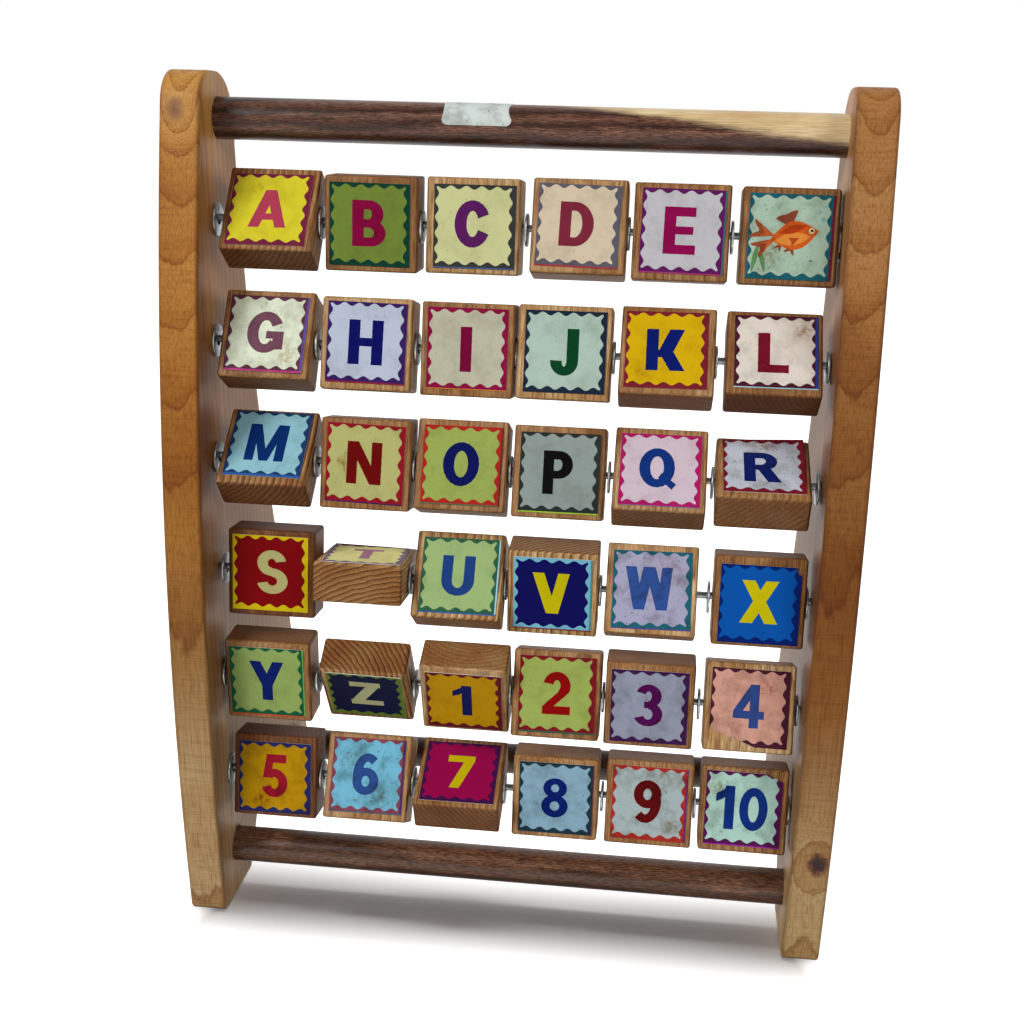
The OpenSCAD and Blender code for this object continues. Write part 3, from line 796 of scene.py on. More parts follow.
# %% Oiled hardwood
def oiled_hardwood():
    """Open-grained block wood that reads the plank, wear and tone attributes.

    The wear attribute holds three traits: how much end grain shows at a point, how worn the
    point is, and how strongly its block's rings show.
    """
    material, tree, shader = new_material("oiled_hardwood")
    place = add(tree, "Attribute", {"attribute_name": "plank"}).outputs["Vector"]
    wear = add(tree, "Attribute", {"attribute_name": "wear"})
    traits = add(tree, "SeparateXYZ", inputs={0: wear.outputs["Vector"]})
    phase, streaks, drift = grain(tree, place, "Z", (0, 0, 0), (0, 0, 0), 2.2, 2.8, 0.4, 9)
    rings = add(tree, "ValToRGB", {"stops": [
        (0.0, "#e2c8a0"), (0.35, "#d0b288"), (0.68, "#ad8b60"), (0.88, "#6f5233"),
        (1.0, "#d6ba92")]}, {0: phase})
    plain = add(tree, "ValToRGB", {"stops": [(0.35, "#caaf87"), (0.65, "#dec8a8")]}, {0: drift})
    soft = add(tree, "Math", {"operation": "MULTIPLY_ADD"}, {
        0: traits.outputs["Z"], 1: 0.9, 2: 0.1})
    color = add(tree, "Mix", MIX, {
        MIX_FACTOR: soft, MIX_A: plain, MIX_B: rings}).outputs[MIX_RESULT]
    fibre = add(tree, "ValToRGB", {"stops": [
        (0.34, "#7f654a"), (0.5, "#e4d5c1"), (0.6, "#ffffff")]}, {0: streaks})
    color = add(tree, "Mix", MULTIPLY, {
        MIX_FACTOR: 0.8, MIX_A: color, MIX_B: fibre}).outputs[MIX_RESULT]
    end = add(tree, "Math", {"operation": "MULTIPLY"}, {0: traits.outputs["X"], 1: 0.75})
    color = add(tree, "Mix", MULTIPLY, {
        MIX_FACTOR: end, MIX_A: color, MIX_B: linear("#b4946f")}).outputs[MIX_RESULT]
    # Handled edges are darker, in patches.
    patches = add(tree, "TexNoise", inputs={"Vector": place, "Scale": 1 / (5 * MM), "Detail": 3.0})
    grime = add(tree, "Math", {"operation": "MULTIPLY"}, {0: traits.outputs["Y"], 1: patches})
    color = add(tree, "Mix", MULTIPLY, {
        MIX_FACTOR: grime, MIX_A: color, MIX_B: linear("#5c3d26")}).outputs[MIX_RESULT]
    cloud = add(tree, "TexNoise", inputs={"Vector": place, "Scale": 1 / (16 * MM), "Detail": 3.0})
    tint = add(tree, "ValToRGB", {"stops": [
        (0.32, "#dcbd98"), (0.5, "#f3e6d3"), (0.66, "#ffffff")]}, {0: cloud})
    color = add(tree, "Mix", MULTIPLY, {
        MIX_FACTOR: 0.9, MIX_A: color, MIX_B: tint}).outputs[MIX_RESULT]
    tone = add(tree, "Attribute", {"attribute_name": "tone"}).outputs["Fac"]
    stain = add(tree, "ValToRGB", {"stops": [
        (0.0, "#98745a"), (0.3, "#c2a88f"), (0.6, "#d8c4b0"), (1.0, "#fffaf0")]}, {0: tone})
    color = add(tree, "Mix", MULTIPLY, {
        MIX_FACTOR: 1.0, MIX_A: color, MIX_B: stain}).outputs[MIX_RESULT]
    finish_wood(tree, shader, color, streaks, 0.07, 0.55, 0.2)
    return material


block_wood = oiled_hardwood()
print(block_wood.name, "has", len(block_wood.node_tree.nodes), "nodes")

# %% [markdown]
# ### The shape of a block
# A block could be a cube with a Bevel modifier and a hole cut by a Boolean modifier. Here it is
# a tube round its rod: across the left side from the hole outwards, over a rounded edge, along
# the face, over the next edge and back in, with the hole's wall closing the loop. That is one
# closed grid, with no seam or cap to hide, and the outer line is a rounded rectangle instead of
# a circle. Sanding by hand leaves every block's edges a little different, so their radius is
# drawn anew for each.

# %% Block shape
HOLE_D = 3.5
CORNER_STEPS = 5
SIDE_STEPS = 8
# Where the rings of points on a flat side lie, from the hole at 0 to the rounded edge at 1.
SIDE_SHARES = (0.5, 0.97)
SIDE_WEAR = 0.15


def rounded_outline(width, height, radius):
    """Points and outward directions round a rectangle in the YZ plane, corner by corner.

    A corner is its core point plus radius times a direction that makes a quarter turn. A side
    runs straight on to the next corner.
    """
    signs = np.array([(1, 1), (-1, 1), (-1, -1), (1, -1)])
    cores = signs * (width / 2 - radius, height / 2 - radius)
    steps = np.linspace(0, 1, SIDE_STEPS + 1)[1:-1, None]
    points, outward = [], []
    for corner, core in enumerate(cores):
        angle = corner * math.pi / 2 + np.linspace(0, math.pi / 2, CORNER_STEPS)
        direction = np.column_stack([np.cos(angle), np.sin(angle)])
        arc = core + radius * direction
        end = cores[(corner + 1) % 4] + radius * direction[-1]
        points += [arc, arc[-1] + (end - arc[-1]) * steps]
        outward += [direction, np.repeat(direction[-1:], len(steps), axis=0)]
    return np.concatenate(points), np.concatenate(outward)


def block_shape(width, height, depth, radius):
    """Grid of a drilled block about the origin, how worn each column is, outward directions.

    point(u, v): u runs round the outline, and v from the hole over the left side, the face and
    the right side back to the hole. On a rounded edge, x lies radius times (1 - cos) inside the
    side, and the outline is reached from its core by radius times sin.
    """
    outline, outward = rounded_outline(depth, height, radius)
    edge = outline - radius * outward
    hole = HOLE_D / 2 * outline / np.linalg.norm(outline, axis=1, keepdims=True)
    half = width / 2
    # Each column of the grid is x, its ring of points, and how worn it is.
    left = [(-half, hole, 0.0)]
    left += [(-half, hole + (edge - hole) * share, SIDE_WEAR) for share in SIDE_SHARES]
    for a in np.linspace(0, math.pi / 2, CORNER_STEPS):
        ring = edge + radius * math.sin(a) * outward
        left.append((-half + radius * (1 - math.cos(a)), ring, math.sin(2 * a) ** 2))
    across = np.linspace(-half + radius, half - radius, SIDE_STEPS)[1:-1]
    right = [(-x, ring, worn) for x, ring, worn in reversed(left)]
    columns = [*left, *((x, outline, 0.0) for x in across), *right]
    points = np.stack([np.insert(ring, 0, x, axis=1) for x, ring, _ in columns], axis=1)
    return points, np.array([worn for _, _, worn in columns]), outward


sample = block_shape(38, 38, 17, 1)[0]
print("a block's grid has", len(sample), "points round it and", len(sample[0]), "across")

# %% [markdown]
# ### Where each block lies and what it was sawn from
# The frame holds each block as a solid that is already turned on its rod. Its middle, its size
# and its turn are measured there, because a number that is written twice can go wrong twice:
# the biggest flat faces tell which way the block looks. The blocks' own looks could come from
# chance alone, but in the photograph some have strong rings and some are plain, some are pale
# and some dark. Those are listed here, and chance decides the rest.

# %% Place the blocks
# Three numbers choose a block's place in its plank: how far it lies from the heart line in mm,
# in which direction, in degrees, where 0 is to the right and 90 to the back, and how strongly
# its rings show, from 0 to 1.
HEARTS = {
    "m": (60, 38, 1.0), "z": (60, 40, 1.0), "t": (64, 250, 1.0), "1": (24, 265, 0.45),
    "q": (90, 40, 0.5), "r": (80, 45, 0.5), "7": (85, 145, 0.6), "u": (70, 55, 0.9),
    "a": (75, 35, 0.8), "v": (60, 130, 1.0), "3": (90, 92, 0.3), "8": (80, 85, 0.4),
}
# How pale each block's wood is, from 0 to 1.
TONES = {0.0: "s 5", 0.3: "b f l x", 0.6: "a e g i k m n o p r y 2 3 7 9 10", 0.8: "d q z 6 8",
         1.0: "c h j t u v w 1 4"}
random = np.random.default_rng(36)


def turned(turn):
    """Rotation that tips a block's face up by `turn`, as a matrix for points @ matrix.T."""
    c, s = math.cos(turn), math.sin(turn)
    return np.array([[1, 0, 0], [0, c, s], [0, -s, c]])


def block_facts(node_name):
    """Middle, turn in radians and size in millimetres of a block, measured on its node.

    The turn is the direction in which most of the node's area looks, between -60 and 120
    degrees, where 0 is to the front and 90 is straight up.
    """
    mesh = frame["nodes"][node_name].data
    points = node_points(node_name)
    middle = (points.min(0) + points.max(0)) / 2
    normals, areas = np.zeros(len(mesh.polygons) * 3), np.zeros(len(mesh.polygons))
    mesh.polygons.foreach_get("normal", normals)
    mesh.polygons.foreach_get("area", areas)
    normals = normals.reshape(-1, 3)
    flat = np.abs(normals[:, 0]) < 0.01
    angle = np.degrees(np.arctan2(normals[flat, 2], -normals[flat, 1]))
    angle = np.round((angle + 60) % 180 - 60, 1)
    values, which = np.unique(angle, return_inverse=True)
    turn = math.radians(values[np.bincount(which, weights=areas[flat]).argmax()])
    upright = (points - middle) @ turned(turn)
    return middle, turn, np.ptp(upright, axis=0)


def make_block(letter, middle, turn, size, radius):
    """One block's wood, with its plank, wear and tone attributes."""
    points, worn, outward = block_shape(size[0], size[2], size[1], radius)
    rows, columns = points.shape[:2]
    points = points.reshape(-1, 3)
    body = f"block_{letter}"
    piece = make_piece(
        f"{body}_wood", points @ turned(turn).T + middle, grid_faces(rows, columns, True, True),
        block_wood, body, [body])
    # The numbers are drawn for every block, so that a choice for one leaves the others alone.
    distance, direction, strength = HEARTS.get(
        letter, (random.uniform(50, 110), random.uniform(20, 160), random.uniform(0.25, 0.6)))
    a = math.radians(direction)
    origin = (distance * math.cos(a), distance * math.sin(a), random.uniform(-2000, 2000))
    add_attribute(piece, "plank", "FLOAT_VECTOR", (points + origin) * MM)
    # End grain shows above and below, and not on the flat sides at the ends of the grid.
    traits = np.zeros((rows, columns, 3))
    flat = len(SIDE_SHARES) + 1
    traits[:, flat:-flat, 0] = np.abs(outward[:, 1:]) ** 4
    traits[..., 1] = worn
    traits[..., 2] = strength
    add_attribute(piece, "wear", "FLOAT_VECTOR", traits)
    tone = next(level for level, letters in TONES.items() if letter in letters.split())
    add_attribute(piece, "tone", "FLOAT", np.full(len(points), tone))


print("blocks whose place in the plank is chosen:", len(HEARTS))

# %% [markdown]
# ## Printed labels
# A label is one sheet of varnished paper, 33 mm square: a dark ground, a panel with a wavy rim
# and a bold letter or number. Stacked thin sheets would do it, but their edges would stand up
# and flicker. Here each label is one sheet whose triangles follow the printed outlines, so
# that each region is simply its own ink colour. Delaunay triangulation makes such a sheet from
# the outlines and a net of points between them, and the net lets the paper curl.
# The letters are drawn from three strokes: an upright bar, a slanting bar with level ends, and
# a bowl, which is the band between two ellipses.

# %% Strokes
STEM, BAR = 0.26, 0.2
BOWL_STEPS = 22


def polygon(*corners):
    """A stroke is a list of closed loops of points; this one has one loop, with these corners."""
    return [np.array(corners, float)]


def block_bar(x0, x1, y0, y1):
    """A bar with square corners."""
    return polygon((x0, y0), (x1, y0), (x1, y1), (x0, y1))


def slant(x0, y0, x1, y1, w=STEM + 0.02):
    """A slanting bar of width w, from (x0, y0) to (x1, y1), cut level at both ends."""
    return polygon((x0, y0), (x0 + w, y0), (x1 + w, y1), (x1, y1))


def bowl(x, y, rx, ry, start=0, stop=360, w=STEM, h=BAR):
    """The band inside an ellipse, w wide at its sides and h at its top, from start to stop degrees.

    A full turn gives two closed loops, and less than that gives one.
    """
    a = np.radians(np.linspace(start, stop, BOWL_STEPS))
    outer = np.column_stack([x + rx * np.cos(a), y + ry * np.sin(a)])
    inner = np.column_stack([x + (rx - w) * np.cos(a), y + (ry - h) * np.sin(a)])
    if stop - start >= 360:
        return [outer[:-1], inner[:-1]]
    return [np.concatenate([outer, inner[::-1]])]


print("a stem is", round(STEM / BAR, 2), "times as wide as a level bar is thick")

# %% [markdown]
# ### Letters and numbers
# The real labels are printed in a bold upright letter without serifs. Blender's Text objects
# could give outlines, but they need a font file, and a font would bring a look of its own. So
# each character is a width and a few strokes on a height of 1. Strokes may overlap, because the
# sheet takes all of them in the same ink.

# %% Letters and numbers
GLYPHS = {
    "A": (0.96, [slant(0, 0, 0.34, 1), slant(0.68, 0, 0.34, 1), block_bar(0.22, 0.74, 0.2, 0.37)]),
    "B": (0.74, [block_bar(0, STEM, 0, 1), block_bar(0.2, 0.4, 0, BAR),
                 block_bar(0.2, 0.4, 0.41, 0.59), block_bar(0.2, 0.38, 1 - BAR, 1),
                 bowl(0.38, 0.705, 0.31, 0.295, -90, 90),
                 bowl(0.4, 0.295, 0.34, 0.295, -90, 90)]),
    "C": (0.75, [bowl(0.39, 0.5, 0.39, 0.5, 25, 335, h=0.225)]),
    "D": (0.78, [block_bar(0, STEM, 0, 1), block_bar(0.2, 0.34, 0, BAR),
                 block_bar(0.2, 0.34, 1 - BAR, 1), bowl(0.34, 0.5, 0.43, 0.5, -90, 90)]),
    "E": (0.7, [block_bar(0, STEM, 0, 1), block_bar(0.2, 0.68, 1 - BAR, 1),
                block_bar(0.2, 0.64, 0.42, 0.59), block_bar(0.2, 0.7, 0, BAR)]),
    "F": (0.66, [block_bar(0, STEM, 0, 1), block_bar(0.2, 0.66, 1 - BAR, 1),
                 block_bar(0.2, 0.6, 0.4, 0.58)]),
    "G": (0.84, [bowl(0.42, 0.5, 0.42, 0.5, 28, 322, h=0.21), block_bar(0.44, 0.84, 0.35, 0.53),
                 block_bar(0.6, 0.84, 0.1, 0.5)]),
    "H": (0.8, [block_bar(0, STEM, 0, 1), block_bar(0.8 - STEM, 0.8, 0, 1),
                block_bar(0.2, 0.6, 0.41, 0.6)]),
    "I": (STEM, [block_bar(0, STEM, 0, 1)]),
    "J": (0.62, [block_bar(0.36, 0.62, 0.3, 1), bowl(0.31, 0.3, 0.31, 0.32, 178, 362)]),
    "K": (0.84, [block_bar(0, STEM, 0, 1), slant(0.2, 0.32, 0.5, 1, 0.32),
                 slant(0.52, 0, 0.24, 0.5, 0.32)]),
    "L": (0.66, [block_bar(0, STEM, 0, 1), block_bar(0.2, 0.66, 0, BAR)]),
    "M": (1.0, [block_bar(0, 0.24, 0, 1), block_bar(0.76, 1.0, 0, 1), slant(0.39, 0, 0.06, 1, 0.22),
                slant(0.39, 0, 0.72, 1, 0.22)]),
    "N": (0.8, [block_bar(0, 0.24, 0, 1), block_bar(0.56, 0.8, 0, 1), slant(0.54, 0, 0, 1, 0.26)]),
    "O": (0.84, [bowl(0.42, 0.5, 0.42, 0.5)]),
    "P": (0.72, [block_bar(0, STEM, 0, 1), block_bar(0.2, 0.38, 1 - BAR, 1),
                 block_bar(0.2, 0.38, 0.36, 0.54), bowl(0.38, 0.68, 0.34, 0.32, -90, 90)]),
    "Q": (0.88, [bowl(0.42, 0.52, 0.42, 0.48),
                 polygon((0.45, 0.28), (0.54, 0.4), (0.88, 0.13), (0.78, 0.0))]),
    "R": (0.84, [block_bar(0, STEM, 0, 1), block_bar(0.2, 0.42, 1 - BAR, 1),
                 block_bar(0.2, 0.42, 0.4, 0.58), bowl(0.42, 0.7, 0.34, 0.3, -90, 90),
                 slant(0.53, 0, 0.3, 0.45, 0.31)]),
    "S": (0.76, [bowl(0.37, 0.715, 0.36, 0.305, 12, 275),
                 bowl(0.38, 0.285, 0.38, 0.305, -168, 95)]),
    "T": (0.76, [block_bar(0.25, 0.51, 0, 1), block_bar(0, 0.76, 1 - BAR, 1)]),
    "U": (0.8, [block_bar(0, STEM, 0.36, 1), block_bar(0.8 - STEM, 0.8, 0.36, 1),
                bowl(0.4, 0.37, 0.4, 0.39, 180, 360)]),
    "V": (0.85, [slant(0.32, 0, 0, 1, 0.265), slant(0.34, 0, 0.59, 1, 0.26)]),
    "W": (1.06, [slant(0.2, 0, 0, 1, 0.245), slant(0.2, 0, 0.4, 1, 0.245),
                 slant(0.71, 0, 0.425, 1, 0.245), slant(0.71, 0, 0.82, 1, 0.24)]),
    "X": (0.88, [slant(0, 0, 0.57, 1, 0.3), slant(0.58, 0, 0.02, 1, 0.3)]),
    "Y": (0.86, [block_bar(0.3, 0.56, 0, 0.5), slant(0.3, 0.38, 0, 1, 0.28),
                 slant(0.28, 0.38, 0.58, 1, 0.28)]),
    "Z": (0.76, [block_bar(0.02, 0.74, 1 - BAR, 1), block_bar(0, 0.76, 0, BAR),
                 slant(0, 0.15, 0.42, 0.85, 0.3)]),
    "0": (0.7, [bowl(0.35, 0.5, 0.35, 0.5, w=0.22)]),
    "1": (0.48, [block_bar(0.22, 0.46, 0, 1),
                 polygon((0, 0.8), (0, 0.62), (0.14, 0.68), (0.26, 0.76), (0.26, 1.0),
                         (0.2, 0.92))]),
    "2": (0.74, [bowl(0.36, 0.68, 0.35, 0.34, -28, 168), block_bar(0, 0.72, 0, BAR),
                 polygon((0, 0.16), (0.02, 0.02), (0.34, 0.02), (0.28, 0.18), (0.67, 0.53),
                         (0.44, 0.63), (0.38, 0.52), (0.1, 0.28))]),
    "3": (0.74, [bowl(0.35, 0.73, 0.34, 0.29, -90, 160, h=0.17),
                 bowl(0.35, 0.28, 0.38, 0.3, -160, 90, h=0.17),
                 block_bar(0.24, 0.38, 0.43, 0.59)]),
    "4": (0.8, [block_bar(0.42, 0.66, 0, 1), block_bar(0, 0.8, 0.21, 0.39),
                polygon((0, 0.21), (0, 0.38), (0.43, 1.0), (0.6, 1.0), (0.44, 0.66),
                        (0.24, 0.37))]),
    "5": (0.74, [block_bar(0.13, 0.68, 1 - BAR, 1), slant(0.03, 0.44, 0.13, 0.95, 0.22),
                 bowl(0.35, 0.32, 0.37, 0.34, -160, 133)]),
    "6": (0.74, [bowl(0.37, 0.33, 0.37, 0.33), bowl(0.41, 0.5, 0.41, 0.5, 50, 195)]),
    "7": (0.7, [block_bar(0, 0.7, 1 - BAR, 1), slant(0.12, 0, 0.44, 0.86, 0.26)]),
    "8": (0.74, [bowl(0.37, 0.745, 0.33, 0.255, w=0.22, h=0.155),
                 bowl(0.37, 0.29, 0.37, 0.29, w=0.24, h=0.17)]),
    "9": (0.74, [bowl(0.37, 0.67, 0.37, 0.33), bowl(0.33, 0.5, 0.41, 0.5, 230, 375)]),
}
GLYPH_GAP = 0.1


def lettering(text, width, height, x=0.0, y=0.0):
    """The strokes of a short text, scaled to a width and height in millimetres about (x, y)."""
    natural = sum(GLYPHS[c][0] for c in text) + GLYPH_GAP * (len(text) - 1)
    pen, strokes = 0.0, []
    for c in text:
        for loops in GLYPHS[c][1]:
            strokes.append([
                (loop + (pen, 0)) * (width / natural, height) + (x - width / 2, y - height / 2)
                for loop in loops])
        pen += GLYPHS[c][0] + GLYPH_GAP
    return strokes


print(len(GLYPHS), "characters of", sum(len(strokes) for _, strokes in GLYPHS.values()), "strokes")

# %% [markdown]
# ### The wavy panel and the sheet
# The rim of the panel is a wave of five periods along each side, with a crest at each corner,
# whose tip is rounded. Blender could cut it with a Boolean modifier, but a triangulation that is
# given all the outlines at once leaves nothing to cut: each triangle belongs to the last region
# that its middle lies in. A net of points between the outlines lets the sheet follow the uneven
# glue, and lets its corners lift where the glue has let go.

# %% Label sheets
LABEL_W = 33.0
LABEL_T = 0.22
NET_STEP = 1.6
# Half the panel's width without its waves, how high they are, and the panel's mean misprint.
PANEL = 14.85
CREST = 0.7
PANEL_SHIFT = (-0.4, 0.4)
WAVES, WAVE_STEPS = 5, 14
# How far in the slanting line at a corner lies, and the share by which what is past it moves in.
EAR_CUT, EAR_PULL = 1.7, 0.3
PAPER = "#e9e4d8"
# Delaunay settings: fill the whole hull with triangles, and join points closer than this, in mm.
WHOLE_HULL, SAME_POINT = 0, 1e-4


def wavy_panel(half, crest, x=0.0, y=0.0):
    """Closed rim: each side is a straight line plus crest times the cosine of five waves.

    A corner is a crest of both its sides. What sticks out there past a slanting line is pulled
    in, which rounds the tip.
    """
    s = np.linspace(-1, 1, WAVES * WAVE_STEPS + 1)[:-1]
    along, out = s * (half + crest), half + crest * np.cos(math.pi * WAVES * (s + 1))
    turns = ((1, 0), (0, 1), (-1, 0), (0, -1))
    rim = np.concatenate([
        np.column_stack([c * along + d * out, d * along - c * out]) for c, d in turns])
    past = np.abs(rim).sum(1, keepdims=True) - (2 * (half + crest) - EAR_CUT)
    return [rim - np.sign(rim) * EAR_PULL * np.clip(past, 0, None) + (x, y)]


def inside(loops, points):
    """Even-odd test: which points have an odd number of the loops' edges to their right."""
    odd = np.zeros(len(points), bool)
    for loop in loops:
        a, b = loop, np.roll(loop, -1, axis=0)
        x, y = points[:, :1], points[:, 1:]
        crosses = (a[:, 1] > y) != (b[:, 1] > y)
        with np.errstate(divide="ignore", invalid="ignore"):
            at = a[:, 0] + (y - a[:, 1]) * (b[:, 0] - a[:, 0]) / (b[:, 1] - a[:, 1])
        odd ^= (crosses & (x < at)).sum(1) % 2 == 1
    return odd


def printed_sheet(rim, regions, lift):
    """Points, triangles and inks of a sheet cut to `rim`. Regions are (strokes, colour).

    Later regions print over earlier ones; lift(points) gives each point's height.
    """
    low, high = rim.min(0) + NET_STEP / 2, rim.max(0) - NET_STEP / 2
    across, up = np.arange(low[0], high[0], NET_STEP), np.arange(low[1], high[1], NET_STEP)
    net = np.stack(np.meshgrid(across, up), axis=-1).reshape(-1, 2)
    net = net[inside([rim], net)]
    # Every outline is a chain of edges that the triangles have to follow.
    loops = [rim, *(loop for strokes, _ in regions for stroke in strokes for loop in stroke)]
    edges, start = [], 0
    for loop in loops:
        first = np.arange(len(loop))
        edges.append(start + np.column_stack([first, (first + 1) % len(loop)]))
        start += len(loop)
    found = geometry.delaunay_2d_cdt(
        np.concatenate([*loops, net]).tolist(), np.concatenate(edges).tolist(), [],
        WHOLE_HULL, SAME_POINT, False)
    points, triangles = np.array(found[0]), np.array(found[2])
    middles = points[triangles].mean(1)
    kept = inside([rim], middles)
    triangles, middles = triangles[kept], middles[kept]
    inks = np.tile(linear(PAPER), (len(triangles), 1))
    for strokes, color in regions:
        for stroke in strokes:
            inks[inside(stroke, middles)] = linear(color)
    used, triangles = np.unique(triangles, return_inverse=True)
    points, triangles = points[used], triangles.reshape(-1, 3)
    return np.column_stack([points, lift(points)]), triangles, inks


def thicken(points, triangles, inks, thickness):
    """Closes a sheet: the same sheet turned over underneath, and a wall along its open edges."""
    a, b, c = np.moveaxis(points[triangles], 1, 0)
    turned_over = np.cross(b - a, c - a)[:, 2] < 0
    triangles = np.where(turned_over[:, None], triangles[:, ::-1], triangles)
    count = len(points)
    under = points - (0, 0, thickness)
    half_edges = np.concatenate([triangles[:, [0, 1]], triangles[:, [1, 2]], triangles[:, [2, 0]]])
    key = half_edges[:, 0] * count + half_edges[:, 1]
    twin = half_edges[:, 1] * count + half_edges[:, 0]
    rim = half_edges[~np.isin(key, twin)]
    walls = np.concatenate([
        np.column_stack([rim[:, 1], rim[:, 0], rim[:, 0] + count]),
        np.column_stack([rim[:, 1], rim[:, 0] + count, rim[:, 1] + count])])
    faces = np.concatenate([triangles, triangles[:, ::-1] + count, walls])
    plain = np.tile(linear(PAPER), (len(triangles) + len(walls), 1))
    return np.concatenate([points, under]), faces, np.concatenate([inks, plain])


print("a panel's rim has", len(wavy_panel(PANEL, CREST)[0]), "points")

# %% [markdown]
# ### Varnished paper
# The sheets were printed by offset and varnished, so they shine softly. Years of fingers have
# left grey smudges, small dark specks and brown stains. The ink comes from the sheet's own
# colour attribute, a second one says how soiled the whole label is, and a third how stained it
# is at each point. A painted picture could carry all this too, but attributes stay sharp from
# any distance.

# %% Varnished paper
def varnished_paper():
    """Printed paper that reads the ink, soil and spot attributes."""
    material, tree, shader = new_material("varnished_paper")
    place = add(tree, "TexCoord").outputs["Object"]
    ink = add(tree, "Attribute", {"attribute_name": "ink"}).outputs["Color"]
    soil = add(tree, "Attribute", {"attribute_name": "soil"}).outputs["Fac"]
    clouds = add(tree, "TexNoise", inputs={
        "Vector": place, "Scale": 1 / (9 * MM), "Detail": 5.0, "Roughness": 0.65})
    smudge = add(tree, "MapRange", inputs={"Value": clouds, "From Min": 0.46, "From Max": 0.78})
    smudge = add(tree, "Math", {"operation": "MULTIPLY"}, {0: smudge, 1: soil})
    color = add(tree, "Mix", MULTIPLY, {
        MIX_FACTOR: smudge, MIX_A: ink, MIX_B: linear("#8c8471")}).outputs[MIX_RESULT]
    dots = add(tree, "TexNoise", inputs={"Vector": place, "Scale": 1 / (1.3 * MM), "Detail": 2.0})
    specks = add(tree, "MapRange", inputs={"Value": dots, "From Min": 0.69, "From Max": 0.74})
    specks = add(tree, "Math", {"operation": "MULTIPLY"}, {0: specks, 1: soil})
    color = add(tree, "Mix", MIX, {
        MIX_FACTOR: specks, MIX_A: color, MIX_B: linear("#4a4236")}).outputs[MIX_RESULT]
    # Stains from wet fingers: brown, and broken up by finer clouds.
    spot = add(tree, "Attribute", {"attribute_name": "spot"}).outputs["Fac"]
    blotches = add(tree, "TexNoise", inputs={
        "Vector": place, "Scale": 1 / (2.2 * MM), "Detail": 4.0, "Roughness": 0.7})
    stain = add(tree, "MapRange", inputs={"Value": blotches, "From Min": 0.4, "From Max": 0.62})
    stain = add(tree, "Math", {"operation": "MULTIPLY"}, {0: stain, 1: spot})
    color = add(tree, "Mix", MULTIPLY, {
        MIX_FACTOR: stain, MIX_A: color, MIX_B: linear("#c09468")}).outputs[MIX_RESULT]
    tree.links.new(color, shader.inputs["Base Color"])
    rough = add(tree, "MapRange", inputs={"Value": clouds, "To Min": 0.34, "To Max": 0.52})
    tree.links.new(rough.outputs[0], shader.inputs["Roughness"])
    shader.inputs["IOR"].default_value = 1.5
    shader.inputs["Specular IOR Level"].default_value = 0.06
    swell = add(tree, "TexNoise", inputs={"Vector": place, "Scale": 1 / (6 * MM), "Detail": 3.0})
    bump = add(tree, "Bump", inputs={"Height": swell, "Distance": 0.25 * MM, "Strength": 0.5})
    tree.links.new(bump.outputs[0], shader.inputs["Normal"])
    return material


paper_print = varnished_paper()
print(paper_print.name, "has", len(paper_print.node_tree.nodes), "nodes")

# %% [markdown]
# ### The colours and the marks of age
# Each label has three inks, and no two labels have the same. Chance could pick them, but then
# the toy wouldn't look like the one in the photograph, so they are listed. Each ink was set by
# comparing its patch in a render with the same patch in the photograph, because a colour under
# the lamps isn't the colour on the paper. The labels are also listed with what the years have
# done to them, and with how straight they were printed and stuck on.

# %% Label colours
# For each block: the panel, the ground round it, and the letter.
INKS = {
    "a": ("#d3c72c", "#71213b", "#aa3a51"), "b": ("#728737", "#0d3b2c", "#84063c"),
    "c": ("#cdce95", "#353837", "#591b5c"), "d": ("#d2c1a6", "#5b5964", "#7a2538"),
    "e": ("#c0bec2", "#5d1959", "#8c064b"), "f": ("#a9c2ad", "#1c5c68", "#7c1230"),
    "g": ("#dbe3ca", "#5d2e44", "#6e4455"), "h": ("#b9c1d3", "#371b5b", "#040a5c"),
    "i": ("#bfbca5", "#8a103f", "#750635"), "j": ("#afc5b8", "#1c2739", "#063f21"),
    "k": ("#d1a908", "#771d2a", "#061868"), "l": ("#dbd1c5", "#4a1a2e", "#741127"),
    "m": ("#8cbdc9", "#1c3a68", "#062b68"), "n": ("#b5b471", "#8f1423", "#6a0606"),
    "o": ("#97a752", "#a9231d", "#030b54"), "p": ("#8e9a96", "#282e2c", "#060606"),
    "q": ("#ccbac6", "#a91960", "#103178"), "r": ("#bdc1cd", "#771426", "#03165e"),
    "s": ("#780408", "#cdb514", "#b0a96f"), "t": ("#e1db83", "#664666", "#9c5c7a"),
    "u": ("#99b375", "#2c5d44", "#1a3c7c"), "v": ("#080855", "#79bad0", "#cabd06"),
    "w": ("#a3a1bc", "#1d6071", "#2e4d91"), "x": ("#0853a9", "#031f66", "#c7bb06"),
    "y": ("#94ab60", "#0e5739", "#031a62"), "z": ("#080831", "#6a882a", "#cccb95"),
    "1": ("#ca9708", "#62121f", "#041054"), "2": ("#9aab56", "#79141f", "#890607"),
    "3": ("#959aad", "#391746", "#4b0649"), "4": ("#d09a89", "#481d2e", "#2e4582"),
    "5": ("#b68908", "#24275d", "#931427"), "6": ("#71b5d0", "#844253", "#284a89"),
    "7": ("#920846", "#3d1046", "#beac06"), "8": ("#89aec2", "#1a323f", "#041b69"),
    "9": ("#a8b6b7", "#a92e28", "#5b060a"), "10": ("#add2c5", "#53144e", "#0d2e7b"),
}
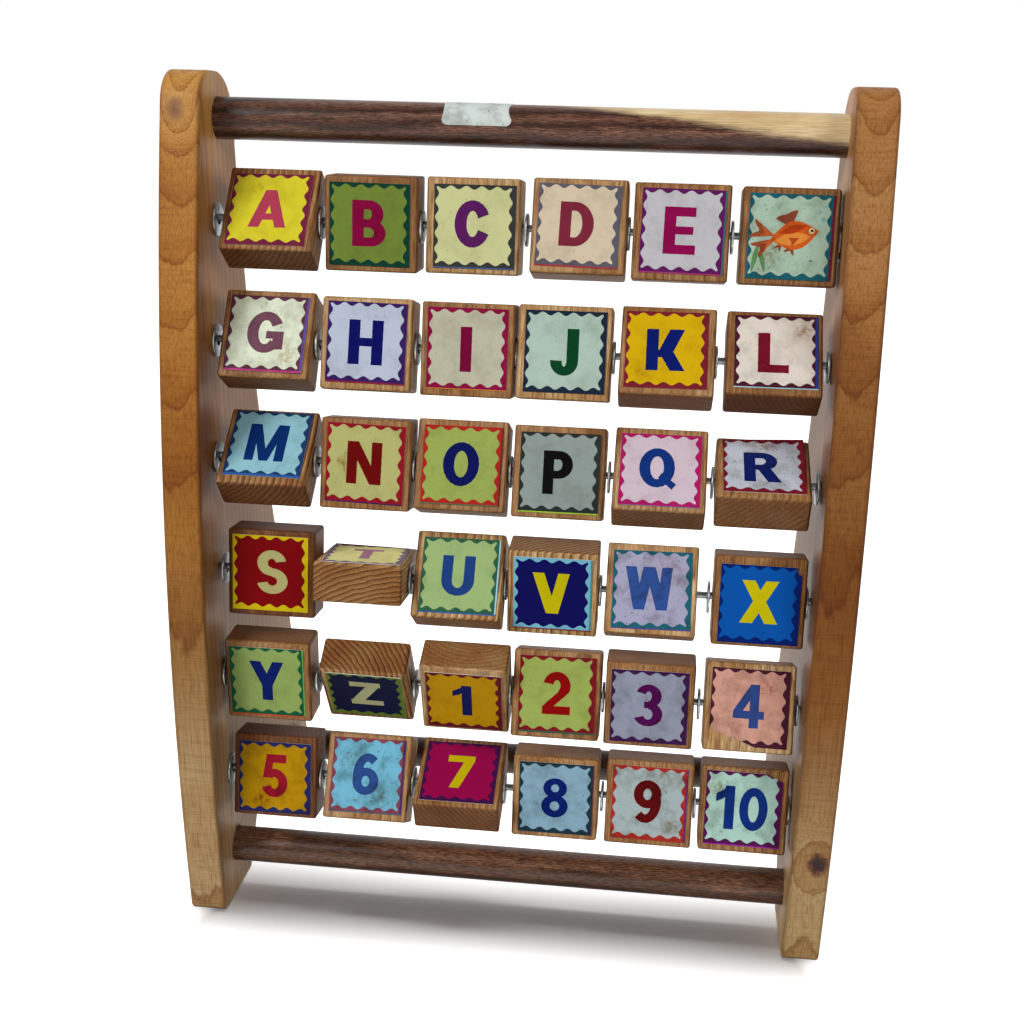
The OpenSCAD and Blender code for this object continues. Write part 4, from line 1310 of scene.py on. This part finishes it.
# Where a sheet was cut past its own ground, a line of the next label's colour shows.
STRIPES = {
    "c": [("bottom", 0.5, "#4a5f8e")], "d": [("bottom", 0.6, "#a8323e")],
    "e": [("bottom", 0.5, "#a8386e"), ("right", 0.5, "#2f6f7c")], "f": [("right", 0.9, "#6c1c36")],
    "g": [("right", 1.0, "#5d4a98"), ("bottom", 0.9, "#b63c7c")], "h": [("bottom", 0.6, "#8e2040")],
    "i": [("bottom", 0.3, "#d88c2c")], "l": [("right", 1.1, "#303c8a"), ("bottom", 0.4, "#a2d2dc")],
    "m": [("bottom", 1.2, "#2d5c9e")], "n": [("bottom", 0.4, "#2b1c5e")],
    "o": [("bottom", 0.4, "#2f6c4c"), ("right", 0.5, "#3a2a28")], "p": [("bottom", 0.5, "#a2c23c")],
    "q": [("bottom", 0.3, "#6c5c8e")], "u": [("right", 0.6, "#a2d6e0"), ("bottom", 0.5, "#2e5ca4")],
    "v": [("right", 0.6, "#2f929e"), ("bottom", 0.5, "#7c1626")], "w": [("bottom", 0.4, "#5c3c8e")],
    "y": [("right", 0.5, "#62b44c"), ("bottom", 0.5, "#dc462c")], "2": [("bottom", 0.6, "#1f5c4a")],
    "6": [("right", 1.0, "#4c305e"), ("bottom", 0.4, "#1f6c7e")], "8": [("right", 0.4, "#6e263c")],
    "9": [("right", 0.8, "#6c2c6e")], "10": [("bottom", 0.5, "#9c2c9e")],
}
# How soiled a label is, from 0 to 1; the others are a little soiled.
SOIL = {"6": 1.0, "9": 0.9, "l": 0.45, "w": 0.9, "r": 0.8, "4": 0.8, "5": 0.7, "g": 0.6, "10": 0.7,
        "f": 0.7, "8": 0.6, "3": 0.6, "s": 0.15, "v": 0.1, "x": 0.15, "7": 0.1, "z": 0.2}
# Stains: right and up from the label's middle and reach, in mm, and how strong.
SPOTS = {
    "l": [(11, 10, 3.5, 1.2)], "n": [(-10, 0.5, 1.6, 1.5)], "f": [(-8, -6, 4, 1.2)],
    "9": [(6, 13, 3, 1.1), (10, -10, 3, 1.2)], "6": [(-9, 6, 4, 0.9), (8, -9, 4, 1.0)],
    "r": [(0, 14, 5, 1.1)], "5": [(-6, -11, 4, 1.3)], "w": [(7, 9, 5, 0.7)], "g": [(9, -9, 4, 0.9)],
    "10": [(-11, 9, 4, 0.9)], "k": [(-10, -11, 3, 0.8)], "a": [(-6, 10, 3, 0.6)],
    "b": [(4, -4, 3, 0.8)], "4": [(8, 9, 4, 0.9)],
}
# How each label was stuck on and printed, in mm and degrees: the label's shift to the right, its
# rise and its turn, then the character's width and height, and its place on the label.
LAYOUT = {
    "a": (-0.3, -0.6, 0.4, 15.7, 17.4, -0.1, 0.3), "b": (-0.5, -0.1, -0.4, 13.8, 18.4, -0.3, 0.5),
    "c": (0.6, -0.2, 0.2, 14.0, 18.7, -1.1, 1.1), "d": (-0.3, 0, -0.9, 13.8, 17.7, -0.6, 0.6),
    "e": (0.5, 0.3, -0.5, 12.7, 18.4, -1.1, 0.3), "f": (0.2, 0, -0.3, 13.0, 18.2, 0, 0),
    "g": (0, -0.1, -0.3, 15.5, 18.1, -0.5, 0.6), "h": (0, 0.5, -0.6, 14.3, 18.2, -0.3, 0.2),
    "i": (0, 0.5, 0.2, 4.7, 18.2, -0.5, -0.2), "j": (0.4, 0.4, 0.3, 11.4, 18.6, -0.3, 0.1),
    "k": (-0.5, 0.1, 0.7, 15.6, 17.9, -0.3, 0), "l": (0.6, 0.3, 0.5, 12.2, 18.0, -1.1, -0.5),
    "m": (0, 1, -0.4, 16.8, 18.6, -0.7, 0.6), "n": (0, 0.3, -1.2, 14.7, 17.7, -0.4, 0.3),
    "o": (0.4, -0.2, 0.2, 15.2, 18.5, -0.4, 0.5), "p": (0.3, -0.2, 0.3, 12.2, 17.9, -0.7, 0.2),
    "q": (0, -0.6, 0.3, 15.3, 18.8, -1.0, 0.6), "r": (0.2, 0.8, 0.8, 15.0, 18.4, -0.6, -0.7),
    "s": (-0.5, 0.1, 0, 13.5, 18.5, 0.9, 0.6), "t": (0.3, -0.3, 2.6, 13.1, 18.0, -0.3, 1.3),
    "u": (0.6, -0.4, 0.4, 14.0, 17.2, -0.7, 0.2), "v": (0, 0.1, 0.3, 15.6, 18.6, -0.6, 0.4),
    "w": (0.2, -0.4, 0.9, 19.7, 18.1, -1.4, 0.7), "x": (0, -1, 0, 15.7, 18.0, 0, 1.1),
    "y": (-0.4, -0.1, 0.3, 15.5, 18.9, -0.1, 0.5), "z": (0, 1, -1.4, 14.3, 18.4, 0, 1.4),
    "1": (0, -0.6, -0.3, 8.8, 18.2, -0.6, 0.6), "2": (0.4, 0, 0.7, 12.5, 18.1, -0.1, 0.5),
    "3": (0, -0.4, 0.5, 12.1, 18.5, -0.1, 0.8), "4": (0, 0, -0.3, 13.1, 18.6, -0.3, 0.8),
    "5": (-0.1, -0.6, 0.4, 12.3, 19.9, 0, 0.9), "6": (0, 0.5, 0.5, 11.9, 18.5, -0.8, 0.6),
    "7": (0, -0.3, 0.4, 12.1, 18.0, -0.3, 0.1), "8": (0.4, 0.1, 0.2, 11.9, 18.5, -0.5, 0.2),
    "9": (0.1, 0.1, -0.2, 12.2, 19.4, -0.9, 0.8), "10": (-0.3, 0.5, -0.4, 22.6, 19.4, -0.6, 0.4),
}
print("labels:", len(INKS), "colour sets,", len(SPOTS), "stained")

# %% [markdown]
# ### Pictures
# Each letter block shows a small picture on its back, and the number blocks show counting
# dots. The sixth block of the top row is turned round, so its picture faces the front: a
# goldfish, printed in orange. The real pictures could be traced, but they are somebody's
# drawings, so these are plain new ones: a star, a leaf, a sun and the like, each put together
# from shapes with one short formula each, in a few flat inks.

# %% Pictures
TOP = 90.0
DOT_R, DOT_PITCH_X, DOT_PITCH_Y = 2.1, 6.6, 7.2
FIN_STEPS = 13


def round_shape(x, y, rx, ry=None, points=0, depth=0.0, steps=60):
    """Circle whose radius swings by depth, points times round: a fruit, a flower or a disc."""
    ry = rx if ry is None else ry
    a = np.radians(np.linspace(0, 360, steps, endpoint=False) + TOP)
    swing = 1 + depth * np.cos(points * (a - math.radians(TOP)))
    return [np.column_stack([x + rx * swing * np.cos(a), y + ry * swing * np.sin(a)])]


def star(x, y, r, points, inner):
    """Straight-sided star: its corners lie on two circles in turn."""
    corner = np.arange(2 * points)
    a = np.radians(TOP + corner * 180 / points)
    radius = np.where(corner % 2 == 0, r, r * inner)
    return [np.column_stack([x + radius * np.cos(a), y + radius * np.sin(a)])]


def leaf(x, y, length, width, turn):
    """Two mirrored sine arcs from tip to tip, turned by so many degrees."""
    s = np.linspace(0, 1, 16)
    bend = width / 2 * np.sin(math.pi * s)
    outline = np.concatenate([
        np.column_stack([(s - 0.5) * length, bend]),
        np.column_stack([(0.5 - s[1:-1]) * length, -bend[1:-1]])])
    c, d = math.cos(math.radians(turn)), math.sin(math.radians(turn))
    return [outline @ np.array([[c, d], [-d, c]]) + (x, y)]


def fan(x, y, length, spread, turn, notch=0.25):
    """A fin: a sector whose radius is shorter in its middle, by a notch times a cosine squared."""
    a = np.radians(turn + np.linspace(-spread, spread, FIN_STEPS))
    r = length * (1 - notch * np.cos(np.linspace(-math.pi / 2, math.pi / 2, FIN_STEPS)) ** 2)
    return [np.concatenate([[(x, y)], np.column_stack([x + r * np.cos(a), y + r * np.sin(a)])])]


def goldfish():
    """A goldfish that swims to the right and a little up, over two reeds, with bubbles."""
    shapes = [
        ([leaf(-11.5, -8.5, 11, 1.8, 80), leaf(-9, -9.5, 9, 1.6, 104)], "#5f8f5c"),
        ([fan(-5.2, -1.2, 8.8, 22, 163, 0.35), fan(-5.2, -2.0, 8.4, 20, 214, 0.3)], "#9a4a2c"),
        ([fan(-4.6, -1.4, 6.0, 16, 163, 0.3), fan(-4.6, -1.9, 5.8, 15, 214, 0.3)], "#c4602a"),
        ([fan(0.2, 1.6, 6.2, 40, 112, 0.2), fan(1.2, -3.0, 4.6, 24, 250, 0.3),
          fan(-2.2, -3.0, 3.8, 20, 232, 0.3)], "#8a4630"),
        ([leaf(1.4, -0.8, 16.5, 9.6, 12)], "#cf5a1e"),
        ([leaf(0.8, -2.0, 12.5, 4.4, 10)], "#dd8a3a"),
        ([leaf(0.8, 1.2, 10.0, 2.6, 18)], "#b23c14"),
        ([fan(3.0, -1.6, 3.6, 26, 206, 0.2)], "#b4481a"),
        ([round_shape(7.0, 0.9, 0.95)], "#e8d9a8"),
        ([round_shape(7.15, 0.95, 0.5)], "#1c1512"),
        ([round_shape(10.6, 4.8, 0.8), round_shape(9.4, 7.2, 0.6),
          round_shape(11.2, 9.2, 0.45)], "#7fb0a8"),
    ]
    size, shift = 1.15, (0, 1.6)
    return [([[loop * size + shift for loop in loops] for loops in strokes], ink)
            for strokes, ink in shapes]


def heart_shape(x, y, r):
    """x = 16 sin^3 t, y = 13 cos t - 5 cos 2t - 2 cos 3t - cos 4t, scaled to r."""
    t = np.linspace(0, 2 * math.pi, 48, endpoint=False)
    across = 16 * np.sin(t) ** 3
    up = 13 * np.cos(t) - 5 * np.cos(2 * t) - 2 * np.cos(3 * t) - np.cos(4 * t)
    return [np.column_stack([across, up]) * r / 16 + (x, y)]


# A fruit, a ball, a house, a flower, a leaf, a star, a sun, a heart, a moon, a boat, a kite and a
# tree. A picture is a list of (strokes, ink), printed in this order.
PICTURES = [
    [([round_shape(0, -0.5, 7.5, 7.2, 2, 0.05)], "#b5231f"), ([leaf(2.2, 7.6, 6, 2.4, 35)], "#3f7a34")],
    [([round_shape(0, 0, 8)], "#d8742a"), ([leaf(0, 0, 16, 5, 90)], "#f0e2c0"),
     ([leaf(0, 0, 16, 1.6, 0)], "#f0e2c0")],
    [([block_bar(-5, 5, -7, 3)], "#c8a238"), ([polygon((-6.5, 3), (6.5, 3), (0, 9.5))], "#9a2c2c")],
    [([round_shape(0, 0, 6.6, None, 6, 0.22)], "#c2487c"), ([round_shape(0, 0, 2.6)], "#e8c93a")],
    [([leaf(0, 0, 19, 9, 55)], "#3c7f3e"), ([leaf(0, 0, 17, 1.0, 55)], "#a9cf7c")],
    [([star(0, 0, 9, 5, 0.42)], "#e0b51c")],
    [([star(0, 0, 9.5, 12, 0.66)], "#e89a1c"), ([round_shape(0, 0, 5.4)], "#f3cf3c")],
    [([heart_shape(0, 0, 8)], "#b81f3c")],
    [([[*round_shape(0, 0, 8), *round_shape(2.3, 1.4, 5.2)]], "#e6d27a")],
    [([polygon((-9, -2), (9, -2), (6, -7), (-6, -7))], "#7a4a2c"),
     ([polygon((-0.6, -1.5), (-0.6, 9), (-7, -0.5)), polygon((0.8, -1.5), (0.8, 8), (6, -0.5))],
      "#e9e2d0")],
    [([polygon((0, 10), (6.5, 1), (0, -9), (-6.5, 1))], "#2f6fb0"),
     ([polygon((0, 10), (6.5, 1), (0, 1))], "#f1ead6")],
    [([block_bar(-1.1, 1.1, -8.5, 0)], "#70482c"), ([polygon((-7, -3), (7, -3), (0, 9.5))], "#2f6b3c")],
]


def counting_dots(count, color):
    """Rows of dots, as on a domino: at most four in a row."""
    rows = {1: [1], 2: [2], 3: [3], 4: [2, 2], 5: [2, 1, 2], 6: [3, 3], 7: [2, 3, 2], 8: [3, 2, 3],
            9: [3, 3, 3], 10: [3, 4, 3]}[count]
    dots = []
    for i, many in enumerate(rows):
        y = ((len(rows) - 1) / 2 - i) * DOT_PITCH_Y
        dots += [
            round_shape((k - (many - 1) / 2) * DOT_PITCH_X, y, DOT_R, steps=28)
            for k in range(many)]
    return [(dots, color)]


print(len(PICTURES), "pictures for the backs, and a goldfish of", len(goldfish()), "parts")

# %% [markdown]
# ### One label for each side of a block
# The two labels of a block turn with it as one piece. Each is made flat, with its middle at the
# origin, and then placed on the face or on the back. The glue under it is a little uneven, so
# the sheet gets slow waves, which break up its shine. Some labels have lost a corner, and some
# curl up: that could be a cloth simulation, but a height that grows towards the corner does it
# in a line. A strip of the neighbouring label's colour shows where a sheet was cut off the line.

# %% Make each label
# Labels that curl: towards which corner, right and up, and by how many millimetres.
CURL = {"r": (1, 1, 1.6), "p": (1, 1, 0.7), "g": (1, -1, 0.5), "x": (1, 1, 0.9),
        "t": (-1, 1, 0.8), "10": (1, 1, 0.5)}
CURL_START = 0.72
# Torn labels: the corner is missing along this line of points, in millimetres from the middle.
TORN = {
    "4": [(-16.5, -9.0), (-14.6, -10.6), (-8.0, -12.8), (-2.5, -14.4), (1.2, -15.9), (3.2, -16.5)],
    "x": [(14.6, 16.5), (14.4, 15.0), (15.3, 13.8), (16.5, 13.2)],
    "10": [(9.5, 16.5), (12.5, 15.2), (16.5, 13.4)],
}
SOME_SOIL = 0.35
# Height of the waves in the glue and its mean thickness, and how far a panel is misprinted.
WAVE_HEIGHT, GLUE_T = 0.03, 0.12
MISPRINT = 0.12


def label_rim(letter, half):
    """A square, or a square that lacks its torn corner."""
    corners = [(-half, -half), (half, -half), (half, half), (-half, half)]
    torn = TORN.get(letter)
    if torn and torn[0][1] < 0:
        corners = [*torn, *corners[1:]]
    elif torn:
        corners = [*corners[:2], *torn[::-1], corners[3]]
    return np.array(corners, float)


def stripes(letter, half):
    """Bars of the neighbouring label's colour along a side of the sheet."""
    found = []
    for side, width, color in STRIPES.get(letter, []):
        if side == "right":
            bar = block_bar(half - width, half, -half, half)
        else:
            bar = block_bar(-half, half, -half, width - half)
        found.append(([bar], color))
    return found


def label_parts(letter, panel, ground, print_regions, lift, front):
    """One label flat on the XY plane, as (points, faces, inks)."""
    half = LABEL_W / 2
    off = random.normal(0, MISPRINT, 2) + PANEL_SHIFT
    regions = [
        ([block_bar(-half - 1, half + 1, -half - 1, half + 1)], ground),
        *(stripes(letter, half) if front else []),
        ([wavy_panel(PANEL, CREST, *off)], panel), *print_regions]
    rim = label_rim(letter if front else "", half)
    return thicken(*printed_sheet(rim, regions, lift), LABEL_T)


def label_lift(letter, front):
    """Height of a label above the wood: slow waves in the glue, and a corner that curls up.

    The waves are sines across, up and along the diagonal. The curl grows with the square of how
    far a point lies on the way from CURL_START to the corner, on a scale that is 1 there.
    """
    phase = random.uniform(0, 2 * math.pi, 3)
    corner = CURL.get(letter) if front else None

    def lift(points):
        x, y = points[:, 0], points[:, 1]
        height = WAVE_HEIGHT * (
            np.sin(x / 4.5 + phase[0]) + np.sin(y / 5.5 + phase[1])
            + np.sin((x + y) / 7 + phase[2]))
        height += LABEL_T + GLUE_T
        if corner:
            near = (x * corner[0] + y * corner[1]) / LABEL_W
            height += corner[2] * np.clip((near - CURL_START) / (1 - CURL_START), 0, 1) ** 2
        return height

    return lift


def spots(letter, points):
    """How stained each point is: bell curves of its distance from the label's spots."""
    stain = np.zeros(len(points))
    for x, y, reach, strength in SPOTS.get(letter, []):
        distance = np.hypot(points[:, 0] - x, points[:, 1] - y)
        stain += strength * np.exp(-((distance / reach) ** 2))
    return stain


def make_labels(letter, middle, turn, size):
    """Both labels of a block as one piece, with its ink, soil and spot attributes."""
    panel, ground, ink = INKS[letter]
    shift_x, shift_y, spin, width, height, x, y = LAYOUT[letter]
    character = [(lettering(letter.upper(), width, height, x, y), ink)]
    if letter == "f":
        front, back = goldfish(), character
    elif letter.isdigit():
        front, back = character, counting_dots(int(letter), ink)
    else:
        front, back = character, PICTURES[list(INKS).index(letter) % len(PICTURES)]
    sheets, stains = [], []
    c, s = math.cos(math.radians(spin)), math.sin(math.radians(spin))
    for is_front, regions in ((True, front), (False, back)):
        lift = label_lift(letter, is_front)
        points, faces, inks = label_parts(letter, panel, ground, regions, lift, is_front)
        x = points[:, 0] * c - points[:, 1] * s + (shift_x if is_front else 0)
        y = points[:, 0] * s + points[:, 1] * c + (shift_y if is_front else 0)
        out = size[1] / 2 + points[:, 2]
        # The back label is the front one turned over about the rod.
        placed = np.column_stack([x, -out, y] if is_front else [x, out, -y])
        sheets.append((placed, faces, inks))
        stains.append(spots(letter if is_front else "", points))
    points = np.concatenate([p for p, _, _ in sheets])
    faces = np.concatenate([sheets[0][1], sheets[1][1] + len(sheets[0][0])])
    inks = np.concatenate([i for _, _, i in sheets])
    body = f"block_{letter}"
    piece = make_piece(
        f"{body}_labels", points @ turned(turn).T + middle, faces, paper_print, body)
    add_attribute(piece, "ink", "FLOAT_COLOR", np.repeat(inks, 3, axis=0), "CORNER")
    add_attribute(piece, "soil", "FLOAT", np.full(len(points), SOIL.get(letter, SOME_SOIL)))
    add_attribute(piece, "spot", "FLOAT", np.concatenate(stains))


print("torn:", *TORN, "curled:", *CURL)

# %% [markdown]
# ## All thirty-six blocks
# Everything is ready, so one loop over the frame's bodies makes the blocks. The wood is as wide
# and as high as the frame's block. It is thinner by the two labels, which are part of that
# solid and are sheets of their own here.

# %% All thirty-six blocks
WOOD_T = 17.0
for body in frame["bodies"]:
    if not body.startswith("block_"):
        continue
    letter = body.removeprefix("block_")
    middle, turn, size = block_facts(body)
    wood_size = (size[0], WOOD_T, size[2])
    make_block(letter, middle, turn, wood_size, random.uniform(0.9, 1.5))
    make_labels(letter, middle, turn, wood_size)
    print(body, "turned", round(math.degrees(turn), 1), "size", np.round(size, 1))

# %% [markdown]
# ## The blank label on the top rail
# A strip of pale paper is stuck round the front of the top rail, with rounded corners and a
# few specks. It is the same kind of sheet as the others, bent round the rail: a point's height
# on the flat sheet becomes an angle round the rail's axis. A Simple Deform modifier bends too,
# but here the bend has to fit the place and the width that the frame's own label has.

# %% Tape label
TAPE_CORNER = 2.4
TAPE_PAPER = "#cfd8d4"
TAPE_SOIL = 0.8
# How far from the rail the flat form is bent, how far above that the sheet's upper side lies,
# and how thick the sheet is, in mm.
TAPE_GAP, TAPE_TOP, TAPE_T = 0.05, 0.17, 0.14


def rounded_rim(half_w, half_h, radius):
    """Rectangle with a quarter circle at each corner: the corner's core plus radius times turn."""
    a = np.linspace(0, 2 * math.pi, 32, endpoint=False) + math.pi / 32
    c, d = np.cos(a), np.sin(a)
    return np.column_stack([
        np.sign(c) * (half_w - radius) + radius * c, np.sign(d) * (half_h - radius) + radius * d])


tape = node_points("rail_label")
rail_y = (top_rail_low.y + top_rail_high.y) / 2 / MM
rail_r = (top_rail_high.z - top_rail_low.z) / 2 / MM
angles = np.arctan2(tape[:, 2] - top_rail_z, -(tape[:, 1] - rail_y))
tape_middle = (angles.max() + angles.min()) / 2
tape_r = rail_r + TAPE_GAP
rim = rounded_rim(np.ptp(tape[:, 0]) / 2, np.ptp(angles) / 2 * tape_r, TAPE_CORNER)
sheet = printed_sheet(rim, [([[rim * 1.01]], TAPE_PAPER)], lambda p: np.full(len(p), TAPE_TOP))
points, faces, inks = thicken(*sheet, TAPE_T)
angle = tape_middle + points[:, 1] / tape_r
reach = tape_r + points[:, 2]
points = np.column_stack([
    points[:, 0] + (tape[:, 0].min() + tape[:, 0].max()) / 2,
    rail_y - reach * np.cos(angle), top_rail_z + reach * np.sin(angle)])
piece = make_piece("rail_tape", points, faces, paper_print, "frame", ["rail_label"])
add_attribute(piece, "ink", "FLOAT_COLOR", np.repeat(inks, 3, axis=0), "CORNER")
add_attribute(piece, "soil", "FLOAT", np.full(len(points), TAPE_SOIL))
print("tape:", len(faces), "triangles over", round(math.degrees(np.ptp(angles))), "degrees")

# %% [markdown]
# ## Sizes and the last line
# The last line gives the two boxes, the model's and the dressed toy's, so that anyone can see
# how well they agree.

# %% Sizes and the last line
def corners(box):
    """A box's two corners as plain lists."""
    return [list(box[0]), list(box[1])]


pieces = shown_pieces()
print(len(pieces), "pieces are shown, with", sum(len(p.data.polygons) for p in pieces), "faces")
{"cad": corners(cad_box), "visual": corners(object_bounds())}
